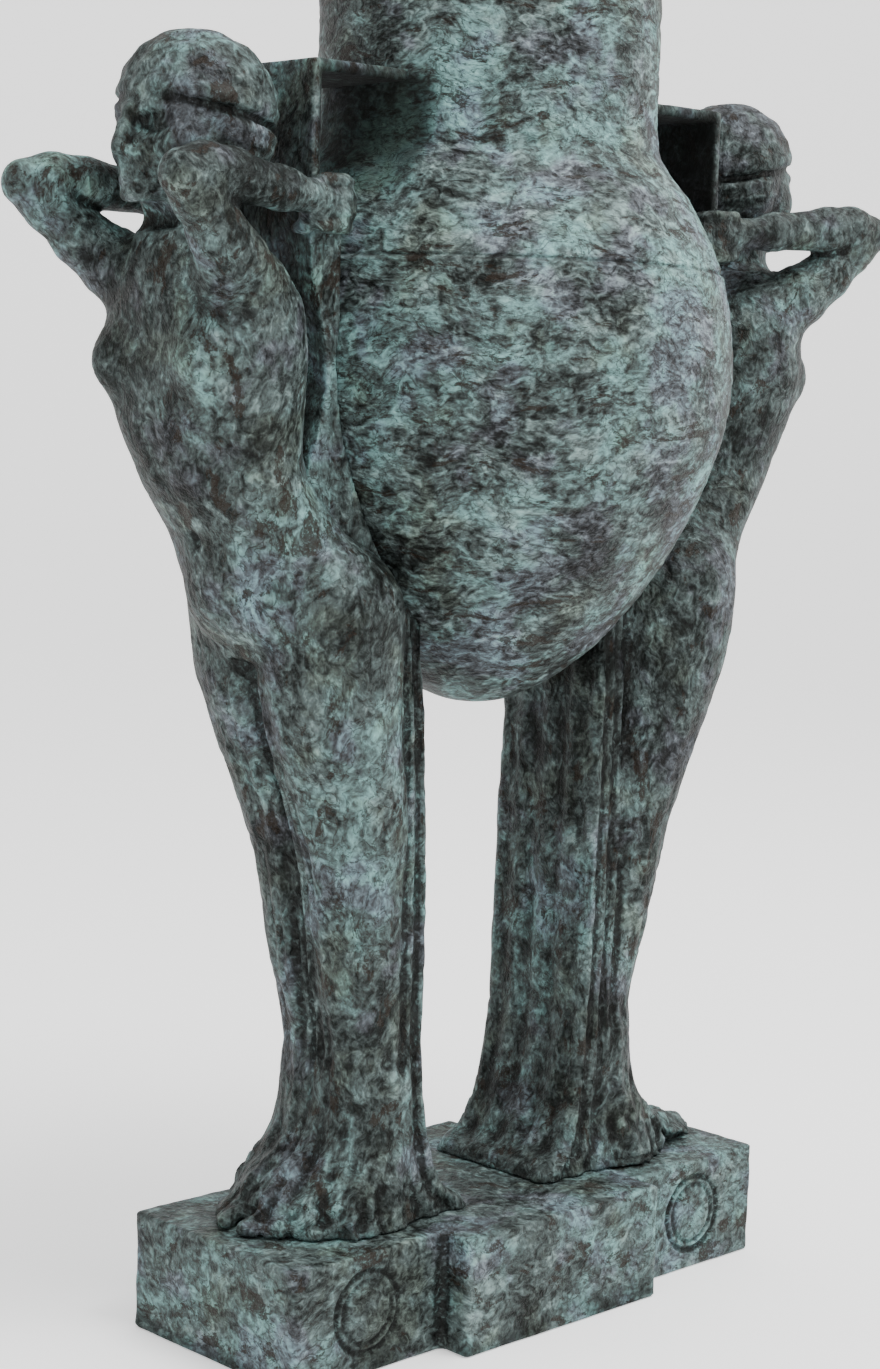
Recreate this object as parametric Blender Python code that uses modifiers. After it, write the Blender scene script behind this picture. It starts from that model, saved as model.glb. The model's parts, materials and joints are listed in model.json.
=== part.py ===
"""Bronze of two women carrying a tall vase between them, on a stepped plinth.

Metres, +Z up. The origin is the centre of the plinth's underside and X runs
along the plinth. The women stand back to back against the vase, each one
facing outward. The bronze is made of four castings welded together: the
plinth, the vase with its two strap handles, and the two women.
"""
import math

import bmesh
import bpy
import numpy as np
from mathutils import Matrix

GAP = 0.0003                    # what two touching castings keep between them
SEGMENTS = 38                   # sides of the turned vase

PLINTH_LENGTH = 0.619
PLINTH_WIDTH = 0.228
PLINTH_HEIGHT = 0.1125
STEP_LENGTH = 0.259             # the wider middle block, along X
STEP_PROJECTION = 0.033         # how far it stands out on each long side
PLINTH_ROUNDING = 0.006         # worn corners
ROUNDEL_RADIUS = 0.039
ROUNDEL_INSET = 0.0036          # depth of its sunk ring
ROUNDEL_GROOVE = 0.0110         # width of the sunk ring
ROUNDEL_STATION = 0.2195        # from the middle of the plinth, along X

BELLY_RADIUS = 0.238
NECK_RADIUS = 0.160
BELLY_HEIGHT = 0.897            # where the vase is widest
BOTTOM_HEIGHT = 0.577           # lowest point of its rounded end
NECK_HEIGHT = 1.117             # where the shoulder has become the neck
VASE_HEIGHT = 1.300
VASE_WALL = 0.006
LIP_PROJECTION = 0.007
LIP_HEIGHT = 0.016

STRAP_STANDOFF = 0.0274         # outer face of a strap beyond the belly
STRAP_WIDTH = 0.120
STRAP_THICKNESS = 0.011
STRAP_TOP = 1.150
PILLAR_THICKNESS = 0.037        # the strap's lower part, behind the back
PILLAR_TOP = 1.036
PILLAR_SLOPE = 0.027            # height over which the strap thickens to the pillar
PILLAR_FOOT = 0.752
PILLAR_ROOT = 0.712             # where its slanting foot meets the vase
ROOT_RISE = 0.070               # height over which its inner side sinks into the belly
ROOT_DEPTH = 0.076              # how far that side ends inside the belly's radius
COVE_DEPTH = 0.022              # hollow in the pillar behind the shoulder blades
COVE_HEIGHT = 0.885
COVE_FOOT = 0.020               # what is left of the pillar's foot below the cove

FIGURE_HEIGHT = 1.060           # plinth to crown
FIGURE_SCALE = 106              # a figure is laid out in units, this many tall
FIGURE_TRIANGLES = 2100
CLAY_GRAIN = 0.0042             # fineness at which the forms are fused
LEFT_DRAPE_BACK = 0.113         # inner face of each woman's drape, from the middle
RIGHT_DRAPE_BACK = 0.100
RIGHT_TUCK = 0.012              # how far the right woman's ankles stand further in
LEFT_REACH = -2.2               # how far each one's toes come out, in figure units
RIGHT_REACH = 0.8
STRAP_FACE = BELLY_RADIUS + STRAP_STANDOFF
CLEARANCE = 0.050               # how far a cutter runs past what it cuts

# The vase's outside as shares. The shoulder's are of the way from the neck to the
# belly, in height and in radius. The lower part's are of the way from the belly
# down to the bottom, and of the belly's radius.
SHOULDER = [(0.0, 0.0), (0.105, 0.039), (0.205, 0.205), (0.291, 0.398), (0.414, 0.595), (0.532, 0.757),
            (0.680, 0.886), (0.832, 0.962)]
LOWER = [(0.0, 1.0), (0.147, 0.983), (0.300, 0.925), (0.450, 0.840), (0.588, 0.735), (0.700, 0.630),
         (0.800, 0.515), (0.890, 0.374), (0.950, 0.245), (0.988, 0.113)]

# The figure's forms in its own units. Each row starts with the height above the
# plinth and the distance outward from the strap's face, so minus is inward.
LEG = [(-1.0, -9.6, 3.6, 5.1), (3.0, -10.2, 3.3, 4.6), (8.8, -10.9, 2.8, 4.0), (14.8, -11.0, 2.6, 4.0),
       (23.8, -9.6, 2.8, 4.3), (32.8, -8.8, 3.3, 4.9), (38.8, -7.6, 3.6, 5.6), (44.8, -5.7, 3.8, 6.2),
       (50.8, -4.5, 4.2, 6.7), (56.8, -4.1, 4.3, 7.0), (60.0, -3.2, 3.9, 6.6), (62.4, -1.8, 3.3, 5.4),
       (64.0, -0.8, 2.6, 3.2)]
TORSO = [(52.0, -5.5, 8.2, 8.2), (55.5, -4.9, 8.9, 9.2), (59.8, -2.2, 8.4, 9.2), (62.8, 0.1, 7.5, 8.8),
         (65.8, 2.7, 7.0, 8.4), (68.8, 4.7, 6.9, 8.1), (71.8, 5.5, 7.2, 8.5), (74.8, 5.7, 7.3, 9.1),
         (78.8, 5.9, 7.2, 9.8), (82.8, 6.4, 6.9, 9.9), (85.8, 7.2, 5.9, 8.6), (88.8, 7.8, 4.4, 5.6)]
HEM = [(-1.0, 0.6, 8.7), (1.4, 0.2, 8.5), (3.0, -0.9, 8.2), (4.6, -2.9, 7.9), (6.3, -5.1, 7.6), (8.2, -6.6, 7.4),
       (10.8, -7.4, 7.2), (14.0, -8.0, 6.8)]
HEM_BACK = -16.0
DRAPE = [(-1.0, 5.6, 8.2), (1.2, 4.6, 8.1), (2.4, 2.6, 7.8), (5.0, 1.4, 7.4), (9.0, 0.5, 7.1), (15.0, 0.0, 7.0),
         (30.0, 0.0, 7.0), (46.0, -0.6, 6.9), (52.0, -1.0, 6.6), (57.0, -1.2, 6.2)]
DRAPE_THICKNESS = 4.6
KNEE = 40.0
DRAPE_PLEAT = 0.35              # depth of the pleats along its edges
DRAPE_PLEATS = 3


def clear_scene():
    """Removes what a new file starts with, and the data it leaves behind."""
    for thing in list(bpy.data.objects):
        bpy.data.objects.remove(thing, do_unlink=True)
    for block in (bpy.data.meshes, bpy.data.materials, bpy.data.curves, bpy.data.collections):
        for item in list(block):
            block.remove(item)


def new_collection(name):
    collection = bpy.data.collections.new(name)
    bpy.context.scene.collection.children.link(collection)
    return collection


def bronze(name, colour, roughness):
    """A patinated bronze, as dark as the casting it is on."""
    material = bpy.data.materials.new(name)
    material.use_nodes = True
    shader = material.node_tree.nodes["Principled BSDF"]
    shader.inputs["Base Color"].default_value = (*colour, 1.0)
    shader.inputs["Roughness"].default_value = roughness
    shader.inputs["Metallic"].default_value = 0.55
    return material


def mesh_object(name, collection, mesh):
    thing = bpy.data.objects.new(name, mesh)
    collection.objects.link(thing)
    return thing


def smooth(thing):
    thing.data.polygons.foreach_set("use_smooth", [True] * len(thing.data.polygons))


def boolean(thing, tool, operation):
    """Cuts or joins with the tool, which stays in the other collection as a wire."""
    tool.hide_render = True
    tool.display_type = "WIRE"
    step = thing.modifiers.new(operation.title(), "BOOLEAN")
    step.operation = operation
    step.solver = "EXACT"
    step.object = tool


def applied(thing):
    """The mesh of an object with its modifiers worked in and its place taken up."""
    depsgraph = bpy.context.evaluated_depsgraph_get()
    mesh = bpy.data.meshes.new_from_object(thing.evaluated_get(depsgraph))
    mesh.transform(thing.matrix_world)
    return mesh


def box(name, collection, low, high, rounding=0.0):
    """A block between two corners, with its edges rounded if wanted."""
    work = bmesh.new()
    size = [b - a for a, b in zip(low, high)]
    middle = [(a + b) / 2 for a, b in zip(low, high)]
    bmesh.ops.create_cube(work, size=1.0, matrix=Matrix.Translation(middle) @ Matrix.Diagonal((*size, 1.0)))
    mesh = bpy.data.meshes.new(name)
    work.to_mesh(mesh)
    work.free()
    thing = mesh_object(name, collection, mesh)
    if rounding:
        bevel = thing.modifiers.new("Rounding", "BEVEL")
        bevel.width = rounding
        bevel.segments = 2
    return thing


def turned(name, collection, profile, segments=SEGMENTS):
    """A profile of (radius, height) points turned about Z, by a Screw modifier."""
    mesh = bpy.data.meshes.new(name)
    points = [(radius, 0.0, height) for radius, height in profile]
    mesh.from_pydata(points, [(k, k + 1) for k in range(len(points) - 1)], [])
    thing = mesh_object(name, collection, mesh)
    screw = thing.modifiers.new("Turn", "SCREW")
    screw.steps = screw.render_steps = segments
    screw.use_merge_vertices = True
    screw.merge_threshold = 0.00005
    screw.use_normal_calculate = True
    return thing


def vase_profile(inset=0.0):
    """The vase's outside from the foot of its neck to its bottom, moved inward by an inset."""
    drop = NECK_HEIGHT - BELLY_HEIGHT
    swell = BELLY_RADIUS - NECK_RADIUS
    depth = BELLY_HEIGHT - BOTTOM_HEIGHT
    points = [(NECK_RADIUS + swell * share, NECK_HEIGHT - drop * part) for part, share in SHOULDER]
    points += [(BELLY_RADIUS * share, BELLY_HEIGHT - depth * part) for part, share in LOWER]
    points.append((0.0, BOTTOM_HEIGHT))
    outline = np.array(points)
    along = np.gradient(outline, axis=0)
    across = np.stack([along[:, 1], -along[:, 0]], axis=1)
    across /= np.linalg.norm(across, axis=1)[:, None]
    moved = outline + across * inset
    moved[-1] = (0.0, BOTTOM_HEIGHT + inset)
    return [(max(radius, 0.0), height) for radius, height in moved.tolist()]


def vase_solid(name, collection, outset=0.0):
    """The closed outer form of the vase, without its hollow, grown by an outset."""
    outside = [(0.0, VASE_HEIGHT), (NECK_RADIUS + outset, VASE_HEIGHT)]
    return turned(name, collection, outside + vase_profile(-outset))


def vase_shell(collection):
    """The vase as one hollow wall: lip, outside, bottom and the inside back up."""
    lip_foot = VASE_HEIGHT - LIP_HEIGHT
    inner = NECK_RADIUS - VASE_WALL
    lip = [(inner, VASE_HEIGHT), (NECK_RADIUS + LIP_PROJECTION * 0.6, VASE_HEIGHT),
           (NECK_RADIUS + LIP_PROJECTION, VASE_HEIGHT - LIP_HEIGHT * 0.4),
           (NECK_RADIUS, lip_foot)]
    inside = vase_profile(VASE_WALL)[::-2]
    profile = lip + vase_profile() + inside + [(inner, VASE_HEIGHT)]
    return turned("vase", collection, profile)


def strap_outline(grow=0.0):
    """The strap seen from its edge, as a closed outline of (x, z), grown all round if wanted.

    It leaves the neck level, turns square down, thickens to a pillar below the
    hands and is hollowed there by a cove that follows the woman's back.
    """
    face = STRAP_FACE + grow
    inner = STRAP_FACE - STRAP_THICKNESS - grow
    seat = NECK_RADIUS - VASE_WALL / 2
    top = STRAP_TOP + grow
    low = STRAP_TOP - STRAP_THICKNESS - grow
    foot = PILLAR_FOOT - grow
    heel = PILLAR_ROOT - grow
    pillar = STRAP_FACE - PILLAR_THICKNESS - grow
    root = BELLY_RADIUS - ROOT_DEPTH
    reach = COVE_HEIGHT - PILLAR_FOOT - COVE_FOOT
    cove = []
    for share in (-1.0, -0.7, -0.4, -0.15, 0.15, 0.4, 0.7, 1.0):
        depth = COVE_DEPTH * math.cos(share * math.pi / 2) ** 2
        cove.append((face - depth, COVE_HEIGHT + reach * share))
    outer = [(face, foot)] + cove + [(face, top)]
    return outer + [(seat, top), (seat, low), (inner, low), (inner, PILLAR_TOP + PILLAR_SLOPE / 2),
                    (pillar, PILLAR_TOP - PILLAR_SLOPE / 2), (pillar, BELLY_HEIGHT + ROOT_RISE / 2),
                    (root, BELLY_HEIGHT - ROOT_RISE / 2), (root, heel)]


def strap(name, collection, side, grow=0.0):
    """One strap handle, cut from a flat outline and given its width along Y."""
    curve = bpy.data.curves.new(name, "CURVE")
    curve.dimensions = "2D"
    curve.fill_mode = "BOTH"
    curve.extrude = STRAP_WIDTH / 2 + grow
    outline = strap_outline(grow)
    spline = curve.splines.new("POLY")
    spline.points.add(len(outline) - 1)
    for point, (x, z) in zip(spline.points, outline):
        point.co = (x, z, 0.0, 1.0)
    spline.use_cyclic_u = True
    flat = bpy.data.objects.new(name + "_flat", curve)
    collection.objects.link(flat)
    flat.rotation_euler = (math.pi / 2, 0.0, 0.0 if side > 0 else math.pi)
    bpy.context.view_layer.update()
    mesh = applied(flat)
    bpy.data.objects.remove(flat, do_unlink=True)
    work = bmesh.new()
    work.from_mesh(mesh)
    bmesh.ops.remove_doubles(work, verts=work.verts, dist=0.00005)
    bmesh.ops.recalc_face_normals(work, faces=work.faces)
    work.to_mesh(mesh)
    work.free()
    return mesh_object(name, collection, mesh)


def build_vase(parts, tools):
    """The hollow vase with its two straps joined on and its inside kept clear."""
    vase = vase_shell(parts)
    above = VASE_HEIGHT + CLEARANCE
    hollow = turned("vase_hollow", tools, [(0.0, above), (NECK_RADIUS - VASE_WALL, above)] + vase_profile(VASE_WALL))
    for side in (1, -1):
        handle = strap(f"strap_{'right' if side > 0 else 'left'}", tools, side)
        boolean(handle, hollow, "DIFFERENCE")
        boolean(vase, handle, "UNION")
    return vase


def loft(name, collection, rings):
    """A skin over rings that each have the same number of points, capped at both ends."""
    count = len(rings[0])
    points = [tuple(point) for ring in rings for point in ring]
    faces = []
    for row in range(len(rings) - 1):
        for k in range(count):
            a, b = row * count + k, row * count + (k + 1) % count
            faces.append((a, b, b + count, a + count))
    faces.append(tuple(reversed(range(count))))
    faces.append(tuple(range((len(rings) - 1) * count, len(rings) * count)))
    mesh = bpy.data.meshes.new(name)
    mesh.from_pydata(points, [], faces)
    return mesh_object(name, collection, mesh)


class Figure:
    """Lays out one woman in her own units and fuses her forms into one casting."""

    def __init__(self, name, tools, drape_back, tuck, reach):
        self.name = name
        self.tools = tools
        self.unit = FIGURE_HEIGHT / FIGURE_SCALE
        self.drape_back = drape_back
        self.tuck = tuck
        self.reach = reach
        self.forms = []

    def place(self, up, out, side=0.0):
        """Metres of a point given in units: height, outward from the strap, to her left.

        Below the knee she is tucked inward by a parabola, most at the feet.
        """
        inward = self.tuck * max(0.0, 1.0 - up / KNEE) ** 2
        return (STRAP_FACE + out * self.unit - inward, side * self.unit, PLINTH_HEIGHT + up * self.unit)

    def ellipse_ring(self, up, out, side, depth, width, count=20):
        """A level ring round a centre, as deep and as wide as told."""
        turn = [2 * math.pi * k / count for k in range(count)]
        return [self.place(up, out + depth * math.cos(t), side + width * math.sin(t)) for t in turn]

    def ball(self, centre, size, tilt=0.0):
        """An ellipsoid with half-sizes along out, side and up, tipped about her side axis."""
        work = bmesh.new()
        half = [s * self.unit for s in size]
        matrix = (Matrix.Translation(self.place(centre[0], centre[1], centre[2]))
                  @ Matrix.Rotation(math.radians(tilt), 4, "Y") @ Matrix.Diagonal((*half, 1.0)))
        bmesh.ops.create_uvsphere(work, u_segments=24, v_segments=16, radius=1.0, matrix=matrix)
        mesh = bpy.data.meshes.new(self.name + "_form")
        work.to_mesh(mesh)
        work.free()
        self.forms.append(mesh_object(self.name + "_form", self.tools, mesh))

    def limb(self, points):
        """A round tapering form through points of (up, out, side, radius)."""
        curve = bpy.data.curves.new(self.name + "_limb", "CURVE")
        curve.dimensions = "3D"
        curve.bevel_depth = self.unit
        curve.bevel_resolution = 3
        curve.use_fill_caps = True
        spline = curve.splines.new("POLY")
        spline.points.add(len(points) - 1)
        for point, (up, out, side, radius) in zip(spline.points, points):
            point.co = (*self.place(up, out, side), 1.0)
            point.radius = radius
        tube = bpy.data.objects.new(self.name + "_limb", curve)
        self.tools.objects.link(tube)
        bpy.context.view_layer.update()
        mesh = applied(tube)
        bpy.data.objects.remove(tube, do_unlink=True)
        work = bmesh.new()
        work.from_mesh(mesh)
        bmesh.ops.remove_doubles(work, verts=work.verts, dist=0.00005)
        work.to_mesh(mesh)
        work.free()
        self.forms.append(mesh_object(self.name + "_limb", self.tools, mesh))
        for up, out, side, radius in (points[0], points[-1]):
            self.ball((up, out, side), (radius, radius, radius))

    def both(self, maker, *rows):
        """Makes a form on her left and the same form on her right."""
        for side in (1, -1):
            maker([(row[0], row[1], row[2] * side, *row[3:]) for row in rows])

    def trunk(self):
        """Legs under a clinging skirt, its apron of pleats and flared hem, hips and torso."""
        for side in (1, -1):
            rings = [self.ellipse_ring(up, out, side * across, radius, radius) for up, out, across, radius in LEG]
            self.forms.append(loft(self.name + "_leg", self.tools, rings))
        back = (self.drape_back - STRAP_FACE) / self.unit + DRAPE_THICKNESS / 2
        apron = []
        for up, out, across, radius in LEG[:-3]:
            front = out + radius * 0.80
            apron.append(self.ellipse_ring(up, (front + back) / 2, 0.0, (front - back) / 2, across + radius * 0.45))
        self.forms.append(loft(self.name + "_apron", self.tools, apron))
        hem = [self.ellipse_ring(up, (front + HEM_BACK) / 2, 0.0, (front - HEM_BACK) / 2, width, 28)
               for up, front, width in HEM]
        self.forms.append(loft(self.name + "_hem", self.tools, hem))
        rings = [self.ellipse_ring(up, out, 0.0, depth, width, 28) for up, out, depth, width in TORSO]
        self.forms.append(loft(self.name + "_torso", self.tools, rings))
        girdle = [self.ellipse_ring(up, out, 0.0, depth, width, 28) for up, out, depth, width in
                  ((53.0, -4.7, 8.5, 9.0), (54.2, -4.3, 9.3, 9.6), (58.0, -2.8, 9.0, 9.6), (59.2, -2.5, 8.2, 9.0))]
        self.forms.append(loft(self.name + "_girdle", self.tools, girdle))
        for side in (1, -1):
            self.ball((78.6, 8.2, 4.7 * side), (4.3, 4.3, 5.5))
            self.ball((77.7, 11.9, 6.0 * side), (1.9, 1.6, 1.8))

    def arms(self):
        """Arms raised with the elbows forward and the hands back on the strap."""
        self.both(self.limb, (84.0, 7.6, 6.6, 3.4), (88.1, 12.8, 9.3, 2.4), (92.6, 17.9, 10.9, 2.0))
        self.both(self.limb, (92.7, 17.9, 10.9, 2.0), (92.8, 12.2, 9.8, 2.3), (92.3, 5.5, 8.4, 2.0),
                  (91.8, 0.8, 7.5, 1.6))
        for side in (1, -1):
            self.ball((91.6, -1.4, 7.1 * side), (2.9, 1.3, 2.9))
            for finger in range(4):
                self.limb([(93.6 - 1.25 * finger, 0.2, 7.8 * side, 0.72),
                           (93.6 - 1.25 * finger, -3.4, 7.3 * side, 0.66)])

    def head(self):
        """A plain oval face under a close cap of hair, with a brow, nose and chin."""
        self.limb([(84.5, 8.2, 0.0, 3.9), (90.5, 8.2, 0.0, 3.5), (96.0, 7.8, 0.0, 3.6)])
        self.ball((98.2, 8.4, 0.0), (6.7, 6.0, 6.9))
        self.ball((94.6, 10.0, 0.0), (4.9, 4.5, 4.6))
        self.ball((92.6, 12.2, 0.0), (2.3, 2.2, 1.9))
        self.ball((99.1, 7.7, 0.0), (7.1, 6.6, 6.5), tilt=-12.0)
        self.limb([(98.2, 14.7, 0.0, 0.55), (95.5, 15.5, 0.0, 0.85)])

    def feet(self):
        """Bare feet that come out from under the hem, each with five toes."""
        self.both(self.limb, (2.4, self.reach - 5.2, 3.0, 2.3), (1.3, self.reach - 0.8, 3.2, 1.9),
                  (1.0, self.reach + 1.2, 3.3, 1.4))
        for side in (1, -1):
            for order in range(5):
                self.toe(side, order)

    def toe(self, side, order):
        """One toe of a foot, the first being the great toe on the inner side."""
        across = (1.35 + 0.98 * order) * side
        out = self.reach + 3.4 - 0.28 * order - 0.10 * order * order
        radius = 0.95 if order == 0 else 0.72 - 0.04 * order
        self.limb([(1.3, out - 2.6, across, radius), (0.75, out, across, radius)])

    def drape_ring(self, row):
        """A level ring of the drape: a rounded oblong with pleats down its two edges.

        Its outline is a superellipse. The edges move in and out by a cosine of
        the place through the thickness, which gives the pleats.
        """
        up, flare, width = row
        count = 40
        half = DRAPE_THICKNESS / 2 + flare / 2
        middle = (self.drape_back - STRAP_FACE) / self.unit + DRAPE_THICKNESS / 2 - flare / 2
        ring = []
        for k in range(count):
            turn = 2 * math.pi * (k + 0.5) / count
            c, s = math.cos(turn), math.sin(turn)
            through = math.copysign(abs(c) ** 0.40, c)
            across = math.copysign(abs(s) ** 0.16, s)
            pleat = 1.0 - DRAPE_PLEAT / width * (1 - math.cos(2 * math.pi * DRAPE_PLEATS * through)) / 2
            ring.append(self.place(up, middle + half * through, width * across * pleat))
        return ring

    def fused(self):
        """Her forms run together: fused at a fine grain, smoothed and thinned to size."""
        work = bmesh.new()
        for form in self.forms:
            work.from_mesh(form.data)
            bpy.data.objects.remove(form, do_unlink=True)
        mesh = bpy.data.meshes.new(self.name)
        work.to_mesh(mesh)
        work.free()
        body = mesh_object(self.name + "_clay", self.tools, mesh)
        grain = body.modifiers.new("Fuse", "REMESH")
        grain.mode = "VOXEL"
        grain.voxel_size = CLAY_GRAIN
        ease = body.modifiers.new("Ease", "SMOOTH")
        ease.factor = 0.5
        ease.iterations = 5
        mesh = applied(body)
        bpy.data.objects.remove(body, do_unlink=True)
        body = mesh_object(self.name, self.tools, mesh)
        thin = body.modifiers.new("Thin", "DECIMATE")
        thin.ratio = FIGURE_TRIANGLES / sum(len(face.vertices) - 2 for face in mesh.polygons)
        return body

    def build(self):
        self.trunk()
        self.arms()
        self.head()
        self.feet()
        body = self.fused()
        drape = loft(self.name + "_drape", self.tools, [self.drape_ring(row) for row in DRAPE])
        boolean(body, drape, "UNION")
        bpy.context.view_layer.update()
        mesh = applied(body)
        bpy.data.objects.remove(body, do_unlink=True)
        return mesh_object(self.name, self.tools, mesh)


def build_woman(name, parts, tools, side, drape_back, tuck, reach):
    """One woman, cut to sit on the plinth and against the vase and its strap."""
    woman = Figure(name, tools, drape_back, tuck, reach).build()
    woman.rotation_euler = (0.0, 0.0, 0.0 if side > 0 else math.pi)
    reach = STRAP_FACE + FIGURE_HEIGHT
    floor = box(name + "_floor", tools, (-reach, -reach, -CLEARANCE), (reach, reach, PLINTH_HEIGHT + GAP))
    boolean(woman, floor, "DIFFERENCE")
    boolean(woman, vase_solid(name + "_seat", tools, GAP), "DIFFERENCE")
    boolean(woman, strap(name + "_strap_seat", tools, side, GAP), "DIFFERENCE")
    bpy.context.view_layer.update()
    mesh = applied(woman)
    mesh.name = name
    bpy.data.objects.remove(woman, do_unlink=True)
    return mesh_object(name, parts, mesh)


def build_plinth(parts, tools):
    """The block with its wider middle, and a plain ring roundel sunk on each end's long faces."""
    half = PLINTH_LENGTH / 2
    width = PLINTH_WIDTH / 2
    plinth = box("plinth", parts, (-half, -width, 0.0), (half, width, PLINTH_HEIGHT), PLINTH_ROUNDING)
    step = box("plinth_step", tools, (-STEP_LENGTH / 2, -width - STEP_PROJECTION, 0.0),
               (STEP_LENGTH / 2, width + STEP_PROJECTION, PLINTH_HEIGHT), PLINTH_ROUNDING)
    boolean(plinth, step, "UNION")
    for end in (1, -1):
        for face in (1, -1):
            ring = turned("roundel_groove", tools, [
                (ROUNDEL_RADIUS, ROUNDEL_INSET), (ROUNDEL_RADIUS, -ROUNDEL_INSET),
                (ROUNDEL_RADIUS - ROUNDEL_GROOVE, -ROUNDEL_INSET),
                (ROUNDEL_RADIUS - ROUNDEL_GROOVE, ROUNDEL_INSET),
                (ROUNDEL_RADIUS, ROUNDEL_INSET)], 24)
            ring.location = (end * ROUNDEL_STATION, face * width, PLINTH_HEIGHT / 2)
            ring.rotation_euler = (math.pi / 2, 0.0, 0.0)
            boolean(plinth, ring, "DIFFERENCE")
    return plinth


def main():
    clear_scene()
    parts = new_collection("women_with_vase")
    tools = new_collection("cutters")
    plinth = build_plinth(parts, tools)
    plinth.data.materials.append(bronze("bronze_plinth", (0.085, 0.12, 0.115), 0.62))
    vase = build_vase(parts, tools)
    smooth(vase)
    vase.data.materials.append(bronze("bronze_vase", (0.12, 0.19, 0.175), 0.58))
    for name, side, drape_back, tuck, reach in (
            ("woman_left", -1, LEFT_DRAPE_BACK, 0.0, LEFT_REACH),
            ("woman_right", 1, RIGHT_DRAPE_BACK, RIGHT_TUCK, RIGHT_REACH)):
        woman = build_woman(name, parts, tools, side, drape_back, tuck, reach)
        woman.data.materials.clear()
        woman.data.materials.append(bronze("bronze_" + name, (0.10, 0.15, 0.145), 0.6))


main()
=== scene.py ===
"""Dressed model of a bronze: two women carry a tall vase between them on a plinth.

Metres, +Z up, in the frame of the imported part. The women and the plinth are
modelled as clay would be: forms given by their distance fields are run together
on a grid, and a closed skin is drawn through the grid. The vase is turned.
"""

import json
import logging
import math
from dataclasses import dataclass
from enum import Enum
from typing import Callable, Sequence

import bpy
import numpy as np
from mathutils import Matrix, Vector

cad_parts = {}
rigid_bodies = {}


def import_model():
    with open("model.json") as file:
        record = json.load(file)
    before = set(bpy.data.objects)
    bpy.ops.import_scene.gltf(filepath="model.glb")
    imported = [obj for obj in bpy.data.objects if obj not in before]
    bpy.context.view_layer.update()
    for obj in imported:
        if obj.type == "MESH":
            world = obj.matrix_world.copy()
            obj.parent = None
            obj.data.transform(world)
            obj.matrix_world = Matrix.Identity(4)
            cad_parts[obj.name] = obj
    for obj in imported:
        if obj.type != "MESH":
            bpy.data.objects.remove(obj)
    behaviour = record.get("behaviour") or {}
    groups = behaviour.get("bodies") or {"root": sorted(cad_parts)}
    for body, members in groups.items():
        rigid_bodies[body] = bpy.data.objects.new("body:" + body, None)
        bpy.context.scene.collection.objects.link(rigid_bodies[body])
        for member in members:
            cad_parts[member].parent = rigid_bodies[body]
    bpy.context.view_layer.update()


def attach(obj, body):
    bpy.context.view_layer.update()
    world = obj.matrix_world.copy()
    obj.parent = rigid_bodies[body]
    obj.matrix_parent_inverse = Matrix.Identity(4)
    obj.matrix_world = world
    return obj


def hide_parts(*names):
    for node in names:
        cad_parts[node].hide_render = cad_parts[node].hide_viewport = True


Array = np.ndarray
Field = Callable[[Array, Array, Array], Array]
log = logging.getLogger("bronze")

GAP = 0.0004                    # between two castings that touch
PLINTH_TOP = 0.1125
STRAP_FACE = 0.2654             # outer face of a strap, from the middle
UNIT = 0.01                     # one figure unit


class Side(Enum):
    """Which end of the plinth a piece is on, with the sign of its X."""

    LEFT = -1
    RIGHT = 1


class Blend(Enum):
    """How two forms of clay meet."""

    ADD = 1
    CUT = 2


def ease(a: Array, b: Array, reach: float, how: Blend = Blend.ADD) -> Array:
    """Runs two forms together, or cuts the second from the first, with a soft seam.

    The smaller distance is lowered by h * h * reach / 4, where h falls from one
    where the distances are equal to zero where they differ by the reach.

    Args:
        a: Distances to the first form.
        b: Distances to the second form.
        reach: Width of the seam, in the unit of the distances.
        how: Whether the second form is added or cut away.

    Returns:
        Distances to the result.
    """
    if how is Blend.CUT:
        return -ease(-a, b, reach)
    h = np.maximum(reach - np.abs(a - b), 0.0) / reach
    return np.minimum(a, b) - h * h * (reach / 4)


def step(low: float, high: float, at: Array) -> Array:
    """Zero below the low value, one above the high one, smooth between."""
    t = np.clip((at - low) / (high - low), 0.0, 1.0)
    return t * t * (3 - 2 * t)


def bump(middle: float, width: float, at: Array) -> Array:
    """A bell that is one at its middle and falls off over its width."""
    return np.exp(-(((at - middle) / width) ** 2))


def curve(rows: Sequence[Sequence[float]], column: int, at: Array) -> Array:
    """A smooth curve through one column of a table, over its first column.

    Between two rows it is the cubic whose slopes at the rows are harmonic means
    of the slopes on either side, so it never swings past a row.

    Args:
        rows: The table, whose first column rises from row to row.
        column: Which column the curve runs through.
        at: Where to read it, in terms of the first column.

    Returns:
        The curve's value at each place.
    """
    table = np.array(rows, float)
    x, y = table[:, 0], table[:, column]
    rise = np.diff(y) / np.diff(x)
    slope = np.zeros_like(y)
    same = rise[:-1] * rise[1:] > 0
    pair = rise[:-1] + rise[1:]
    slope[1:-1] = np.where(same, 2 * rise[:-1] * rise[1:] / np.where(same, pair, 1.0), 0.0)
    slope[0], slope[-1] = rise[0], rise[-1]
    place = np.clip(np.searchsorted(x, at) - 1, 0, len(x) - 2)
    span = np.diff(x)[place]
    t = np.clip((at - x[place]) / span, 0.0, 1.0)
    value = (y[place] * (1 + 2 * t) * (1 - t) ** 2 + y[place + 1] * t * t * (3 - 2 * t)
             + span * (slope[place] * t * (1 - t) ** 2 - slope[place + 1] * t * t * (1 - t)))
    return value.astype(np.float32)


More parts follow.
